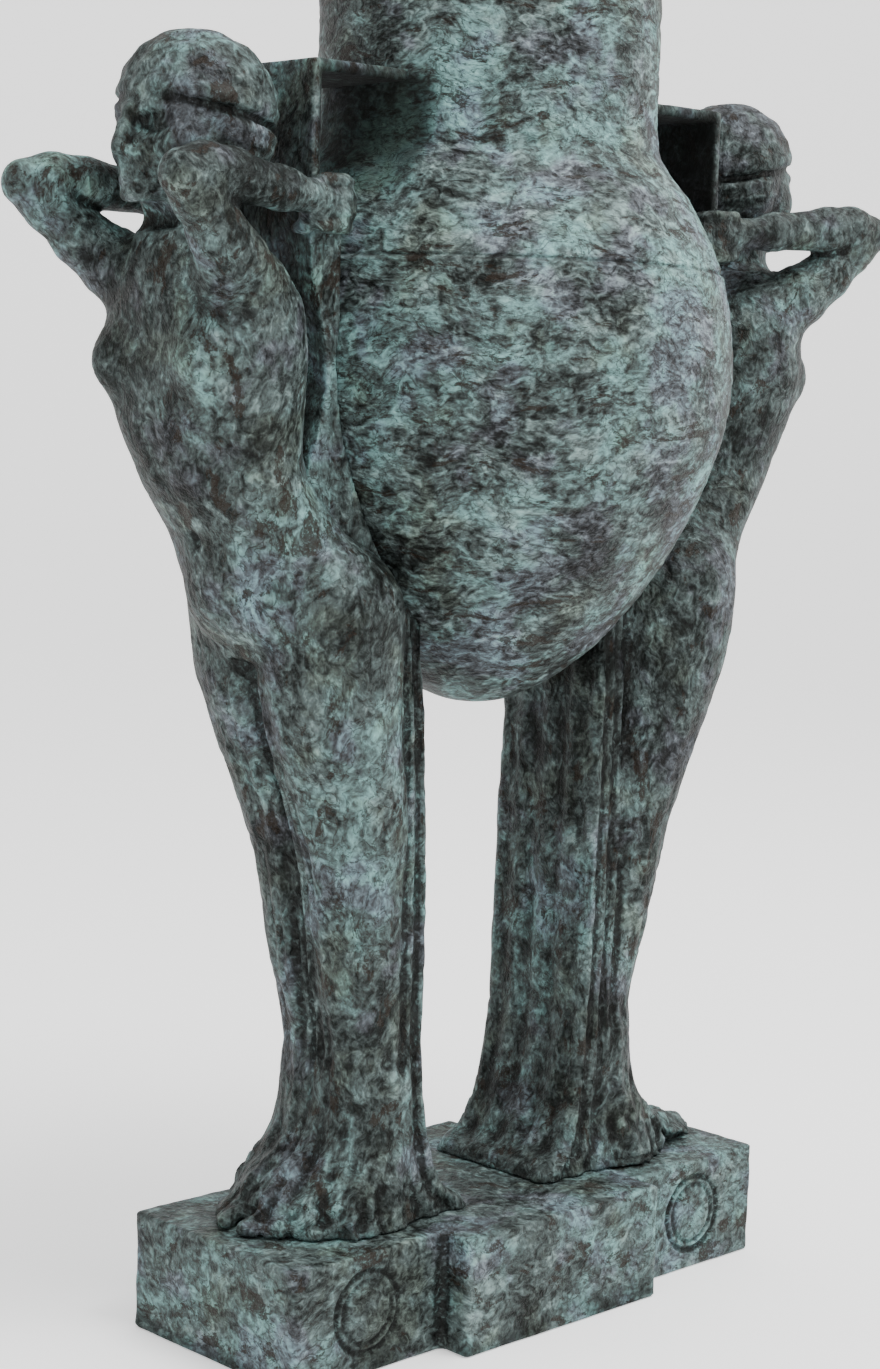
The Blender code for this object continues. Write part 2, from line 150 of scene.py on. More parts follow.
def ball(p: Sequence[Array], centre: Sequence[float], half: Sequence[float]) -> Array:
    """Near distance to an ellipsoid: k (k - 1) over the length of k's slope.

    Here k is a place's distance from the middle, with each axis in half-sizes.

    Args:
        p: The three coordinates of the places.
        centre: The ellipsoid's middle.
        half: Its three half-sizes.

    Returns:
        Distances, negative inside.
    """
    q = [(axis - c) / h for axis, c, h in zip(p, centre, half)]
    k = np.sqrt(q[0] ** 2 + q[1] ** 2 + q[2] ** 2) + 1e-6
    slope = np.sqrt((q[0] / half[0]) ** 2 + (q[1] / half[1]) ** 2 + (q[2] / half[2]) ** 2) + 1e-6
    return k * (k - 1) / slope


def limb(p: Sequence[Array], rows: Sequence[Sequence[float]], reach: float = 1.0) -> Array:
    """Distance to a round tapering form through rows of three coordinates and a radius.

    Each pair of rows gives the distance to the line between them, less a radius
    that changes evenly along it, and the pairs are run together.

    Args:
        p: The three coordinates of the places.
        rows: Three coordinates and a radius each.
        reach: Width of the seam between one pair and the next.

    Returns:
        Distances, negative inside.
    """
    whole = None
    for a, b in zip(rows[:-1], rows[1:]):
        along = [b[k] - a[k] for k in range(3)]
        length = sum(c * c for c in along)
        t = np.clip(sum((p[k] - a[k]) * along[k] for k in range(3)) / length, 0.0, 1.0)
        away = np.sqrt(sum((p[k] - a[k] - t * along[k]) ** 2 for k in range(3)))
        part = away - (a[3] + (b[3] - a[3]) * t)
        whole = part if whole is None else ease(whole, part, reach)
    return whole


def oval(u: Array, v: Array, depth: Array, width: Array) -> Array:
    """Near distance to an ellipse whose half-sizes may change with height.

    Args:
        u: First coordinate, from the ellipse's middle.
        v: Second coordinate, from its middle.
        depth: Half-size along the first.
        width: Half-size along the second.

    Returns:
        Distances, negative inside.
    """
    k = np.sqrt((u / depth) ** 2 + (v / width) ** 2) + 1e-6
    slope = np.sqrt((u / depth ** 2) ** 2 + (v / width ** 2) ** 2) + 1e-6
    return k * (k - 1) / slope


def slab(u: Array, v: Array, half_u: Array, half_v: Array, corner: float) -> Array:
    """Distance to a rectangle with rounded corners.

    Args:
        u: First coordinate, from the rectangle's middle.
        v: Second coordinate, from its middle.
        half_u: Half-size along the first.
        half_v: Half-size along the second.
        corner: Radius of the corners.

    Returns:
        Distances, negative inside.
    """
    a, b = np.abs(u) - half_u + corner, np.abs(v) - half_v + corner
    outside = np.sqrt(np.maximum(a, 0.0) ** 2 + np.maximum(b, 0.0) ** 2)
    return outside + np.minimum(np.maximum(a, b), 0.0) - corner


class Noise:
    """Smooth noise between -1 and 1, from a seeded table of random values."""

    def __init__(self, seed: int) -> None:
        """Fills the table.

        Args:
            seed: Which table of random values to use.
        """
        self.table = np.random.default_rng(seed).uniform(-1, 1, (32, 32, 32)).astype(np.float32)

    def at(self, points: Array, grain: Sequence[float]) -> Array:
        """Noise at points, blended between the eight table values around each.

        Args:
            points: One row of x, y, z per point.
            grain: Size of a patch along each axis.

        Returns:
            One value per point.
        """
        place = points / np.array(grain)
        low = np.floor(place).astype(np.int64)
        t = place - low
        t = t * t * (3 - 2 * t)
        total = np.zeros(len(points))
        for corner in np.ndindex(2, 2, 2):
            index = (low + corner) % 32
            weight = np.prod(np.where(np.array(corner) == 1, t, 1 - t), axis=1)
            total += weight * self.table[index[:, 0], index[:, 1], index[:, 2]]
        return total


@dataclass
class Grid:
    """A box of sample points, closer together where the piece has fine detail."""

    x: Array
    y: Array
    z: Array

    def skin(self, field: Field) -> tuple[Array, Array]:
        """Draws a closed skin where the field is zero.

        Each cell that the skin passes through gets one vertex, at the mean of
        the places where the field is zero on the cell's edges. Each grid edge
        whose ends have opposite signs gets a face through the four cells
        around it.

        Args:
            field: Distance at points given by their three coordinates.

        Returns:
            The vertices, one row each, and the faces, four indices each.
        """
        value = field(self.x[:, None, None], self.y[None, :, None], self.z[None, None, :])
        inside = value < 0
        count = np.zeros([n - 1 for n in value.shape], np.int8)
        corners = list(np.ndindex(2, 2, 2))
        for i, j, k in corners:
            count += inside[i:i + count.shape[0], j:j + count.shape[1], k:k + count.shape[2]]
        cells = np.argwhere((count > 0) & (count < 8))
        number = np.full(count.shape, -1, np.int64)
        number[tuple(cells.T)] = np.arange(len(cells))
        held = {c: value[tuple((cells + c).T)] for c in corners}
        axes = (self.x, self.y, self.z)
        spot = {c: np.stack([axis[cells[:, n] + c[n]] for n, axis in enumerate(axes)], axis=1)
                for c in corners}
        total, crossings = np.zeros((len(cells), 3)), np.zeros(len(cells))
        for a in corners:
            for axis in range(3):
                if a[axis]:
                    continue
                b = tuple(c + (n == axis) for n, c in enumerate(a))
                cross = (held[a] < 0) != (held[b] < 0)
                t = np.where(cross, held[a] / np.where(cross, held[a] - held[b], 1.0), 0.0)[:, None]
                total += np.where(cross[:, None], spot[a] + t * (spot[b] - spot[a]), 0.0)
                crossings += cross
        vertices = total / crossings[:, None]
        faces = [self._faces(inside, number, axis) for axis in range(3)]
        return vertices, np.concatenate(faces)

    @staticmethod
    def _faces(inside: Array, number: Array, axis: int) -> Array:
        """Faces across the grid edges that run along one axis, turned to point outward.

        Args:
            inside: Whether each sample point is inside.
            number: Each cell's vertex, or less than zero.
            axis: The axis.

        Returns:
            Four vertex indices each.
        """
        turned = np.moveaxis(inside, axis, 0)
        cells = np.moveaxis(number, axis, 0)
        edges = np.argwhere(turned[:-1, 1:-1, 1:-1] != turned[1:, 1:-1, 1:-1])
        i, j, k = edges[:, 0], edges[:, 1] + 1, edges[:, 2] + 1
        around = (cells[i, j - 1, k - 1], cells[i, j, k - 1], cells[i, j, k], cells[i, j - 1, k])
        quad = np.stack(around, axis=1)
        forward = turned[i, j, k]
        if axis == 1:
            forward = ~forward
        return np.where(forward[:, None], quad, quad[:, ::-1])


def spaced(low: float, high: float, pitch: Sequence[Sequence[float]]) -> Array:
    """Sample places whose spacing changes on the way.

    Args:
        low: The first place.
        high: Where to stop.
        pitch: Rows of a place and the spacing there, even between rows.

    Returns:
        The places.
    """
    places = [low]
    table = np.array(pitch)
    while places[-1] < high:
        places.append(places[-1] + float(np.interp(places[-1], table[:, 0], table[:, 1])))
    return np.array(places, np.float32)


def even(low: float, high: float, pitch: float) -> Array:
    """Sample places from low to high with one spacing."""
    return np.arange(low, high + pitch, pitch, dtype=np.float32)


def normals_of(vertices: Array, faces: Array) -> Array:
    """Unit normals at the vertices: the sum of each one's faces' normals, made unit.

    Args:
        vertices: One row of x, y, z each.
        faces: Four vertex indices each.

    Returns:
        One row per vertex.
    """
    a, b, c, d = (vertices[faces[:, n]] for n in range(4))
    across = np.cross(c - a, d - b)
    total = np.stack([np.bincount(faces.ravel(), np.repeat(across[:, n], 4), len(vertices))
                      for n in range(3)], axis=1)
    return total / (np.linalg.norm(total, axis=1)[:, None] + 1e-12)


def spread(values: Array, faces: Array, rounds: int) -> Array:
    """Evens values out over the skin: each round takes the mean over each vertex's faces.

    Args:
        values: One value per vertex.
        faces: Four vertex indices each.
        rounds: How many times to do it.

    Returns:
        One value per vertex.
    """
    weight = np.bincount(faces.ravel(), minlength=len(values))
    for _ in range(rounds):
        mean = values[faces].mean(axis=1)
        values = np.bincount(faces.ravel(), np.repeat(mean, 4), len(values)) / np.maximum(weight, 1)
    return values


def piece(name: str, vertices: Array, faces: Array, recess: Array) -> bpy.types.Object:
    """Makes a smooth mesh object that carries two values per vertex for its finish.

    The attribute named relief is the distance, along the normal and in
    millimetres, from the mean of a vertex's neighbours to the vertex: more on
    ridges and edges, less in grooves.

    Args:
        name: The object's name.
        vertices: One row of x, y, z each.
        faces: Four vertex indices each.
        recess: Painted shade near other pieces and in grooves, plus the darker weld, creases and low patches,
            from zero to one.

    Returns:
        The object, at the origin.
    """
    mesh = bpy.data.meshes.new(name)
    mesh.vertices.add(len(vertices))
    mesh.vertices.foreach_set("co", vertices.astype(np.float32).ravel())
    mesh.loops.add(faces.size)
    mesh.loops.foreach_set("vertex_index", faces.astype(np.int32).ravel())
    mesh.polygons.add(len(faces))
    mesh.polygons.foreach_set("loop_start", np.arange(0, faces.size, 4, dtype=np.int32))
    mesh.polygons.foreach_set("use_smooth", np.ones(len(faces), bool))
    mesh.update(calc_edges=True)
    mesh.validate()
    normals = normals_of(vertices, faces)
    mean = np.stack([spread(vertices[:, n], faces, 6) for n in range(3)], axis=1)
    relief = spread(((vertices - mean) * normals).sum(axis=1), faces, 2) * 1000
    for label, values in (("relief", relief), ("recess", recess)):
        mesh.attributes.new(label, "FLOAT", "POINT").data.foreach_set("value", values.astype(np.float32))
    thing = bpy.data.objects.new(name, mesh)
    bpy.context.scene.collection.objects.link(thing)
    return thing


class Wire:
    """A value in a shader, which adds Math nodes when it is used in an expression."""

    def __init__(self, maker: "Maker", socket: bpy.types.NodeSocket) -> None:
        """Holds one output.

        Args:
            maker: The node maker of the material.
            socket: The output that holds the value.
        """
        self.maker = maker
        self.socket = socket

    def _sum(self, operation: str, *values: "Wire | float") -> "Wire":
        """Adds one Math node over the values given, in their order."""
        return self.maker.node("ShaderNodeMath", {"operation": operation}, dict(enumerate(values)))

    def __add__(self, other: "Wire | float") -> "Wire":
        """This plus the other."""
        return self._sum("ADD", self, other)

    __radd__ = __add__

    def __sub__(self, other: "Wire | float") -> "Wire":
        """This less the other."""
        return self._sum("SUBTRACT", self, other)

    def __rsub__(self, other: "Wire | float") -> "Wire":
        """The other less this."""
        return self._sum("SUBTRACT", other, self)

    def __mul__(self, other: "Wire | float") -> "Wire":
        """This times the other."""
        return self._sum("MULTIPLY", self, other)

    __rmul__ = __mul__

    def size(self) -> "Wire":
        """This without its sign."""
        return self._sum("ABSOLUTE", self)

    def most(self, other: "Wire | float") -> "Wire":
        """The larger of this and the other."""
        return self._sum("MAXIMUM", self, other)

    def clipped(self) -> "Wire":
        """This kept between zero and one."""
        return self.maker.node("ShaderNodeClamp", {}, {0: self})

    def between(self, low: float, high: float) -> "Wire":
        """Zero below the low value and one above the high one, smooth between."""
        smooth = {"interpolation_type": "SMOOTHSTEP"}
        return self.maker.node("ShaderNodeMapRange", smooth, {0: self, 1: low, 2: high})


class Maker:
    """Adds nodes to one material."""

    def __init__(self, tree: bpy.types.NodeTree) -> None:
        """Takes the tree to add to.

        Args:
            tree: The material's node tree.
        """
        self.tree = tree

    def node(self, kind: str, settings: dict, values: dict, output: int | str = 0) -> Wire:
        """Adds a node.

        Args:
            kind: The node's type.
            settings: Its own settings, set first.
            values: What its inputs get, by number or name: a Wire, a number or a row of numbers.
            output: Which output to hand on.

        Returns:
            The output, ready for expressions.
        """
        node = self.tree.nodes.new(kind)
        for name, value in settings.items():
            setattr(node, name, value)
        for name, value in values.items():
            if isinstance(value, Wire):
                self.tree.links.new(value.socket, node.inputs[name])
            else:
                node.inputs[name].default_value = value
        return Wire(self, node.outputs[output])

    def mix(self, first: Wire | Sequence[float], second: Wire | Sequence[float], share: Wire | float,
            way: str = "MIX") -> Wire:
        """A colour blended with a second one, by a share of the second."""
        values = {6: self._colour(first), 7: self._colour(second), 0: share}
        return self.node("ShaderNodeMix", {"data_type": "RGBA", "blend_type": way}, values, 2)

    def ramp(self, value: Wire, stops: Sequence[tuple[float, Sequence[float]]]) -> Wire:
        """A colour read off a row of stops.

        Args:
            value: What to read it by.
            stops: A place and a colour each.

        Returns:
            The colour.
        """
        wire = self.node("ShaderNodeValToRGB", {}, {0: value})
        elements = wire.socket.node.color_ramp.elements
        for _ in stops[2:]:
            elements.new(0.5)
        for element, (place, colour) in zip(elements, stops):
            element.position = place
            element.color = self._colour(colour)
        return wire

    @staticmethod
    def _colour(value: Wire | Sequence[float]) -> Wire | Sequence[float]:
        """A colour with its alpha, where it is a row of three numbers."""
        return value if isinstance(value, Wire) else (*value, 1.0)

    def stretched(self, scale: Sequence[float], sway: float) -> Wire:
        """Object coordinates, moved about by slow noise and then stretched.

        Args:
            scale: The stretch along each axis.
            sway: How many metres the noise moves them by.

        Returns:
            The coordinates.
        """
        place = self.node("ShaderNodeTexCoord", {}, {}, "Object")
        slow = self.node("ShaderNodeTexNoise", {}, {"Vector": place, "Scale": 13.0, "Detail": 1.0}, "Color")
        moved = self.node("ShaderNodeVectorMath", {"operation": "MULTIPLY_ADD"},
                          {0: slow, 1: (sway,) * 3, 2: place})
        return self.node("ShaderNodeMapping", {}, {"Vector": moved, "Scale": scale})

    def noise(self, place: Wire, scale: float, detail: float, rough: float, twist: float = 0.0) -> Wire:
        """Cloudy noise about one half."""
        values = {"Vector": place, "Scale": scale, "Detail": detail, "Roughness": rough, "Distortion": twist}
        return self.node("ShaderNodeTexNoise", {}, values, 0)


@dataclass(frozen=True)
class Patina:
    """Brushed-on verdigris over dark bronze, whose strokes run the way the scale is small."""

    name: str
    strokes: tuple[float, float, float]
    lift: float                 # how far the whole range moves to the light verdigris
    contrast: float             # how far the flecks stand off from the middle tone
    shoulder: float             # painted sheen: how much lighter the tone is at the height of the vase's shoulder
    tones: tuple = (
        (0.26, (0.0036, 0.0040, 0.0034)), (0.34, (0.0080, 0.0100, 0.0088)), (0.41, (0.0170, 0.0220, 0.0208)),
        (0.47, (0.0350, 0.0460, 0.0440)), (0.52, (0.0550, 0.0735, 0.0710)), (0.57, (0.0860, 0.1170, 0.1130)),
        (0.62, (0.1320, 0.1820, 0.1750)), (0.72, (0.2000, 0.2850, 0.2720)), (0.84, (0.2900, 0.3950, 0.3760)))
    teal: tuple[float, float, float] = (0.80, 1.05, 1.06)
    violet: tuple[float, float, float] = (1.12, 0.95, 1.10)
    olive: tuple[float, float, float] = (1.05, 1.00, 0.84)
    rust: tuple[float, float, float] = (0.0150, 0.0105, 0.0070)
    gloss: float = 0.16         # strength of its highlights
    sway: float = 0.024         # metres that slow noise moves the strokes by
    crust: float = 0.0045       # metres that the thickest verdigris stands up by

    def material(self) -> bpy.types.Material:
        """Builds the finish as nodes.

        The tone is a sum of noises from broad clouds to fine grain, with a painted
        highlight on ridges and, at the vase's shoulder, a painted sheen. A ramp turns
        it into colours from bare dark bronze to pale verdigris. Drifts of teal,
        violet and olive, rusty streaks and cracks, and painted shade in the grooves
        and from the mesh's painted-shade values are laid over it in turn.

        Returns:
            The material.
        """
        material = bpy.data.materials.new(self.name)
        material.use_nodes = True
        make = Maker(material.node_tree)
        shader = material.node_tree.nodes["Principled BSDF"]
        shader.inputs["Specular IOR Level"].default_value = self.gloss
        plain = make.stretched((1.0, 1.0, 1.0), 0.0)
        stroke = make.stretched(self.strokes, self.sway)
        streak = make.stretched(tuple(1.0 + (s - 1.0) * 2.4 for s in self.strokes), self.sway)
        relief = make.node("ShaderNodeAttribute", {"attribute_name": "relief"}, {}, "Fac")
        # Painted shade, with the darker weld, creases and low patches, as each mesh carries it.
        recess = make.node("ShaderNodeAttribute", {"attribute_name": "recess"}, {}, "Fac")
        cloud = make.noise(plain, 7.0, 3.0, 0.55)
        drift = make.noise(stroke, 27.0, 2.0, 0.50, 0.5)
        patch = make.noise(stroke, 84.0, 2.5, 0.58, 0.90)
        fleck = make.noise(stroke, 195.0, 2.0, 0.60, 0.60)
        grain = make.noise(plain, 420.0, 2.0, 0.60)
        dash = make.noise(streak, 30.0, 5.0, 0.72, 0.25)
        line = make.noise(stroke, 44.0, 3.0, 0.60, 1.20)
        tint = make.noise(plain, 15.0, 3.0, 0.60)
        hue = make.noise(stroke, 22.0, 3.0, 0.60)
        # Painted highlight: ridges and edges, where the relief is high, are lifted a little in tone.
        edge = relief.between(0.15, 1.3) * 0.05
        # Painted shade: grooves, where the relief is low, are darkened towards bare dark bronze below.
        groove = (0.0 - relief).between(0.06, 0.75)
        mixed = patch * 0.64 + fleck * 0.40 + drift * 0.38 + cloud * 0.62 + grain * 0.08 - 1.06
        height = make.node("ShaderNodeSeparateXYZ", {}, {0: plain}, "Z")
        # Painted sheen: the tone is lighter from the vase's shoulder up, and less so up the neck.
        high = height.between(0.84, 1.03) * (1.0 - height.between(1.06, 1.20) * 0.55)
        tone = mixed * self.contrast + 0.5 + edge + self.lift + high * self.shoulder
        crack = 1.0 - (line - 0.5).size().between(0.005, 0.024)
        colour = make.ramp(tone, self.tones)
        aqua = tone.between(0.44, 0.66) * (hue * 0.5 + cloud * 0.5).between(0.44, 0.56)
        colour = make.mix(colour, self.teal, aqua, "MULTIPLY")
        lilac = tint.between(0.52, 0.62) * (1.0 - tone.between(0.60, 0.80))
        colour = make.mix(colour, self.violet, lilac, "MULTIPLY")
        colour = make.mix(colour, self.olive, (1.0 - tint).between(0.54, 0.66) * 0.6, "MULTIPLY")
        dark = (dash.between(0.580, 0.620) + crack * cloud.between(0.42, 0.60) * 0.75).clipped()
        dark = dark * (1.0 - grain.between(0.56, 0.66) * 0.5)
        colour = make.mix(colour, self.rust, dark * 0.86)
        # Noise that leaves lighter patches in the painted groove shade.
        worn = 1.0 - fleck.between(0.50, 0.66) * 0.45
        # Painted shade in the grooves and from the mesh's values, which also hold darker seams and patches.
        colour = make.mix(colour, self.tones[0][1], (groove * worn * 0.85).most(recess * 0.86))
        make.tree.links.new(colour.socket, shader.inputs["Base Color"])
        rough = tone * 0.4 + 0.38 + recess * 0.5
        make.tree.links.new(rough.clipped().socket, shader.inputs["Roughness"])
        metal = (1.0 - tone.between(0.34, 0.50)) * (1.0 - recess) * 0.5
        make.tree.links.new(metal.clipped().socket, shader.inputs["Metallic"])
        crust = fleck * 0.45 + grain * 0.15 + patch * 0.60 - dark * 0.14
        bumps = {"Strength": 0.85, "Distance": self.crust, "Height": crust}
        raised = make.node("ShaderNodeBump", {}, bumps, "Normal")
        make.tree.links.new(raised.socket, shader.inputs["Normal"])
        return material


def behind(x: Array, y: Array, z: Array) -> Array:
    """Painted shade: one in the space between a strap and the vase's neck, which the strap shades, falling to
    zero around it.
    """
    # Painted shade, strongest in the gap between the strap's inner face and the neck.
    beside = step(0.092, 0.066, np.abs(y)) * step(0.126, 0.146, np.abs(x)) * step(0.2620, 0.2560, np.abs(x))
    return beside * step(1.010, 1.075, z) * step(1.158, 1.138, z)


class Casting:
    """What all castings share: each stands for a node of the CAD."""

    node: str

    def dress(self, thing: bpy.types.Object, finish: bpy.types.Material) -> None:
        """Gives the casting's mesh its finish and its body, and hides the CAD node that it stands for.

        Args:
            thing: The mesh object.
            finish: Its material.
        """
        thing.data.materials.append(finish)
        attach(thing, "root")
        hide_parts(self.node)
        self.node


@dataclass
class Vase(Casting):
    """The turned vase: hollow, with a rounded end, a shoulder and a straight neck."""

    node = "vase"
    wall: float = 0.006
    height: float = 1.300
    neck: float = 0.160
    lip: float = 0.007
    seam: float = 0.984         # height of the weld at the shoulder
    around: int = 300
    tooling: float = 0.0011     # depth of one unit of the tool marks
    profile: tuple = (
        (0.0000, 0.5770), (0.0269, 0.5808), (0.0583, 0.5930), (0.0890, 0.6122), (0.1226, 0.6410),
        (0.1499, 0.6730), (0.1749, 0.7088), (0.1999, 0.7530), (0.2202, 0.8010), (0.2340, 0.8500),
        (0.2380, 0.8970), (0.2350, 0.9340), (0.2291, 0.9674), (0.2190, 1.0000), (0.2064, 1.0259),
        (0.1910, 1.0530), (0.1760, 1.0719), (0.1630, 1.0939), (0.1600, 1.1170))

    def outline(self, inset: float = 0.0) -> Array:
        """The outside from the bottom to the neck's foot, as rows of radius and height.

        Radius and height are each a smooth curve of the length along the
        profile, moved inward along the profile's own normal. The rows are closer
        together near the weld.

        Args:
            inset: How far inward to move it.

        Returns:
            One row each.
        """
        points = np.array(self.profile)
        along = np.concatenate([[0.0], np.cumsum(np.linalg.norm(np.diff(points, axis=0), axis=1))])
        seam = np.interp(self.seam, points[:, 1], along) + np.linspace(-0.010, 0.010, 15)
        t = np.unique(np.concatenate([np.linspace(0.0, along[-1], 200), seam]))
        radius = curve(np.column_stack([along, points]), 1, t).astype(float)
        height = curve(np.column_stack([along, points]), 2, t).astype(float)
        slope = np.gradient(np.column_stack([radius, height]), axis=0)
        normal = np.column_stack([slope[:, 1], -slope[:, 0]]) / np.linalg.norm(slope, axis=1)[:, None]
        moved = np.column_stack([radius, height]) - normal * inset
        moved[0] = (0.0, self.profile[0][1] + inset)
        return np.maximum(moved, 0.0)

    def distances(self, size: float = 0.002) -> "Section":
        """The vase's distance field in its half section, radius by height, outside positive."""
        line = np.vstack([self.outline(), [(self.neck, self.height), (0.0, self.height)]])
        return Section.around(line, (0.0, 0.45), (0.05, 1.40), size)

    def whole_line(self) -> tuple[Array, int]:
        """The wall's whole line: up the outside, over the lip and down the inside.

        The neck is straight and the lip is a half round on it.

        Returns:
            Rows of radius and height, and how many of them lie below the lip outside.
        """
        outside = self.outline()
        rise = np.linspace(self.profile[-1][1], self.height - 0.016, 38)[1:]
        neck = np.column_stack([np.full(len(rise), self.neck), rise])
        turn = np.linspace(0.0, math.pi, 9)
        roll = self.neck + self.lip * np.sin(turn) ** 0.7 - (self.wall * 0.5) * (1 - np.cos(turn)) / 2
        bead = np.column_stack([roll, self.height - 0.008 - 0.008 * np.cos(turn)])
        bore = self.neck - self.wall
        drop = np.linspace(self.height - 0.001, self.profile[-1][1], 12)
        inner = np.column_stack([np.full(len(drop), bore), drop])
        hollow = self.outline(self.wall)[::-6]
        line = np.vstack([outside, neck, bead, inner, hollow[1:-1], [(0.0, self.profile[0][1] + self.wall)]])
        return line, len(outside) + len(neck)

    def worked(self, place: Array) -> tuple[Array, Array]:
        """Tool marks, creases and the weld at places on the outside.

        The marks are smooth noise that is long around the vase and short along
        its height. Creases lie where a finer noise is near zero. The weld is a
        groove with a ridge under it, each a bell of the height.

        Args:
            place: One row of x, y, z each.

        Returns:
            How far the surface stands out, in units of the tooling, and how much darker it is along the
            broken weld and in the creases.
        """
        tooled = (Noise(3).at(place, (0.026, 0.026, 0.008)) * 0.75
                  + Noise(4).at(place, (0.011, 0.011, 0.004)) * 0.5)
        lumps = Noise(5).at(place, (0.090, 0.090, 0.060)) * 0.8
        rills = Noise(6).at(place, (0.032, 0.032, 0.011))
        creases = np.maximum(0.0, 1.0 - 5.5 * np.abs(rills)) * step(-0.2, 0.5, lumps)
        line_up = place[:, 2] + 0.002 * np.sin(place[:, 0] * 9)
        seam = bump(self.seam + 0.002, 0.0016, line_up)
        ridge = bump(self.seam - 0.002, 0.0020, line_up)
        marks = tooled + lumps - creases * 0.9 - seam * 1.7 + ridge * 1.1 - 1.85
        broken = seam * step(-0.3, 0.3, tooled) * (0.3 + 0.6 * step(-0.3, 0.3, lumps))
        return marks, np.maximum(broken, creases * 0.45)

    def build(self) -> bpy.types.Object:
        """Turns the wall about the vase's axis and works its outside.

        A point of the surface is (r cos a, r sin a, z), with r and z from the
        whole line and a the angle. The marks then move it in or out.

        Returns:
            The mesh object.
        """
        line, below_lip = self.whole_line()
        body = line[1:-1]
        angle = np.linspace(0.0, 2 * math.pi, self.around, endpoint=False)
        radius, level = body[:, 0][:, None], body[:, 1][:, None]
        place = np.stack([radius * np.cos(angle), radius * np.sin(angle), level + 0 * angle], axis=2)
        place = place.reshape(-1, 3)
        dressed = np.repeat(np.arange(len(body)) < below_lip - 2, self.around)
        marks, darkened = self.worked(place)
        flat = np.hypot(place[:, 0], place[:, 1])
        inward = marks * self.tooling * dressed * step(0.0, 0.05, flat)
        place[:, :2] *= ((flat + inward) / flat)[:, None]
        rings = len(body)
        row, column = np.meshgrid(np.arange(rings - 1), np.arange(self.around), indexing="ij")
        after = (column + 1) % self.around
        here, above = row * self.around, (row + 1) * self.around
        quads = np.stack([here + column, here + after, above + after, above + column], axis=2).reshape(-1, 4)
        vertices = np.vstack([place, [(0.0, 0.0, line[0, 1])], [(0.0, 0.0, line[-1, 1])]])
        low, high = len(place), len(place) + 1
        first = np.arange(0, self.around, 2)
        last = (rings - 1) * self.around + first
        step_on = (first + 1) % self.around, (first + 2) % self.around
        floor = np.stack([np.full(len(first), low), step_on[1], step_on[0], first], axis=1)
        end = (rings - 1) * self.around
        inner_floor = np.stack([np.full(len(first), high), last, end + step_on[0], end + step_on[1]], axis=1)
        # Painted shade between the straps and the neck, with the darker weld and creases.
        recess = np.maximum(behind(*vertices.T), np.append(darkened * dressed, (0.0, 0.0)))
        return piece("vase_casting", vertices, np.concatenate([quads, floor, inner_floor]), recess)


@dataclass
class Section:
    """Distances to a flat outline, kept on a fine grid and read between its points."""

    low: tuple[float, float]
    size: float
    table: Array

    @classmethod
    def around(cls, line: Array, wide: Sequence[float], tall: Sequence[float], size: float) -> "Section":
        """Works the distances out: the least over the outline's edges, negative inside.

        Args:
            line: The closed outline's corners, one row each.
            wide: The first coordinate's range.
            tall: The second coordinate's range.
            size: Spacing of the grid.

        Returns:
            The section.
        """
        u = np.arange(wide[0], wide[1] + size, size)
        v = np.arange(tall[0], tall[1] + size, size)
        gu, gv = np.meshgrid(u, v, indexing="ij")
        least = np.full(gu.shape, 1e9)
        inside = np.zeros(gu.shape, bool)
        for a, b in zip(line, np.roll(line, -1, axis=0)):
            along = b - a
            length = max(along @ along, 1e-18)
            t = np.clip(((gu - a[0]) * along[0] + (gv - a[1]) * along[1]) / length, 0.0, 1.0)
            least = np.minimum(least, (gu - a[0] - t * along[0]) ** 2 + (gv - a[1] - t * along[1]) ** 2)
            spans = (a[1] > gv) != (b[1] > gv)
            rise = along[1] if along[1] else 1e-18
            inside ^= spans & (gu < a[0] + (gv - a[1]) * along[0] / rise)
        return cls((wide[0], tall[0]), size, (np.sqrt(least) * np.where(inside, -1, 1)).astype(np.float32))

    def at(self, u: Array, v: Array) -> Array:
        """The distance at points, blended between the four nearest grid points.

        Args:
            u: Their first coordinates.
            v: Their second coordinates.

        Returns:
            One distance each.
        """
        a = np.clip((u - self.low[0]) / self.size, 0, self.table.shape[0] - 1.001)
        b = np.clip((v - self.low[1]) / self.size, 0, self.table.shape[1] - 1.001)
        a, b = np.broadcast_arrays(a, b)
        i, j = a.astype(np.int32), b.astype(np.int32)
        s, t = a - i, b - j
        flat, width = self.table.ravel(), self.table.shape[1]
        k = i * width + j
        low = flat[k] * (1 - t) + flat[k + 1] * t
        high = flat[k + width] * (1 - t) + flat[k + width + 1] * t
        return low * (1 - s) + high * s


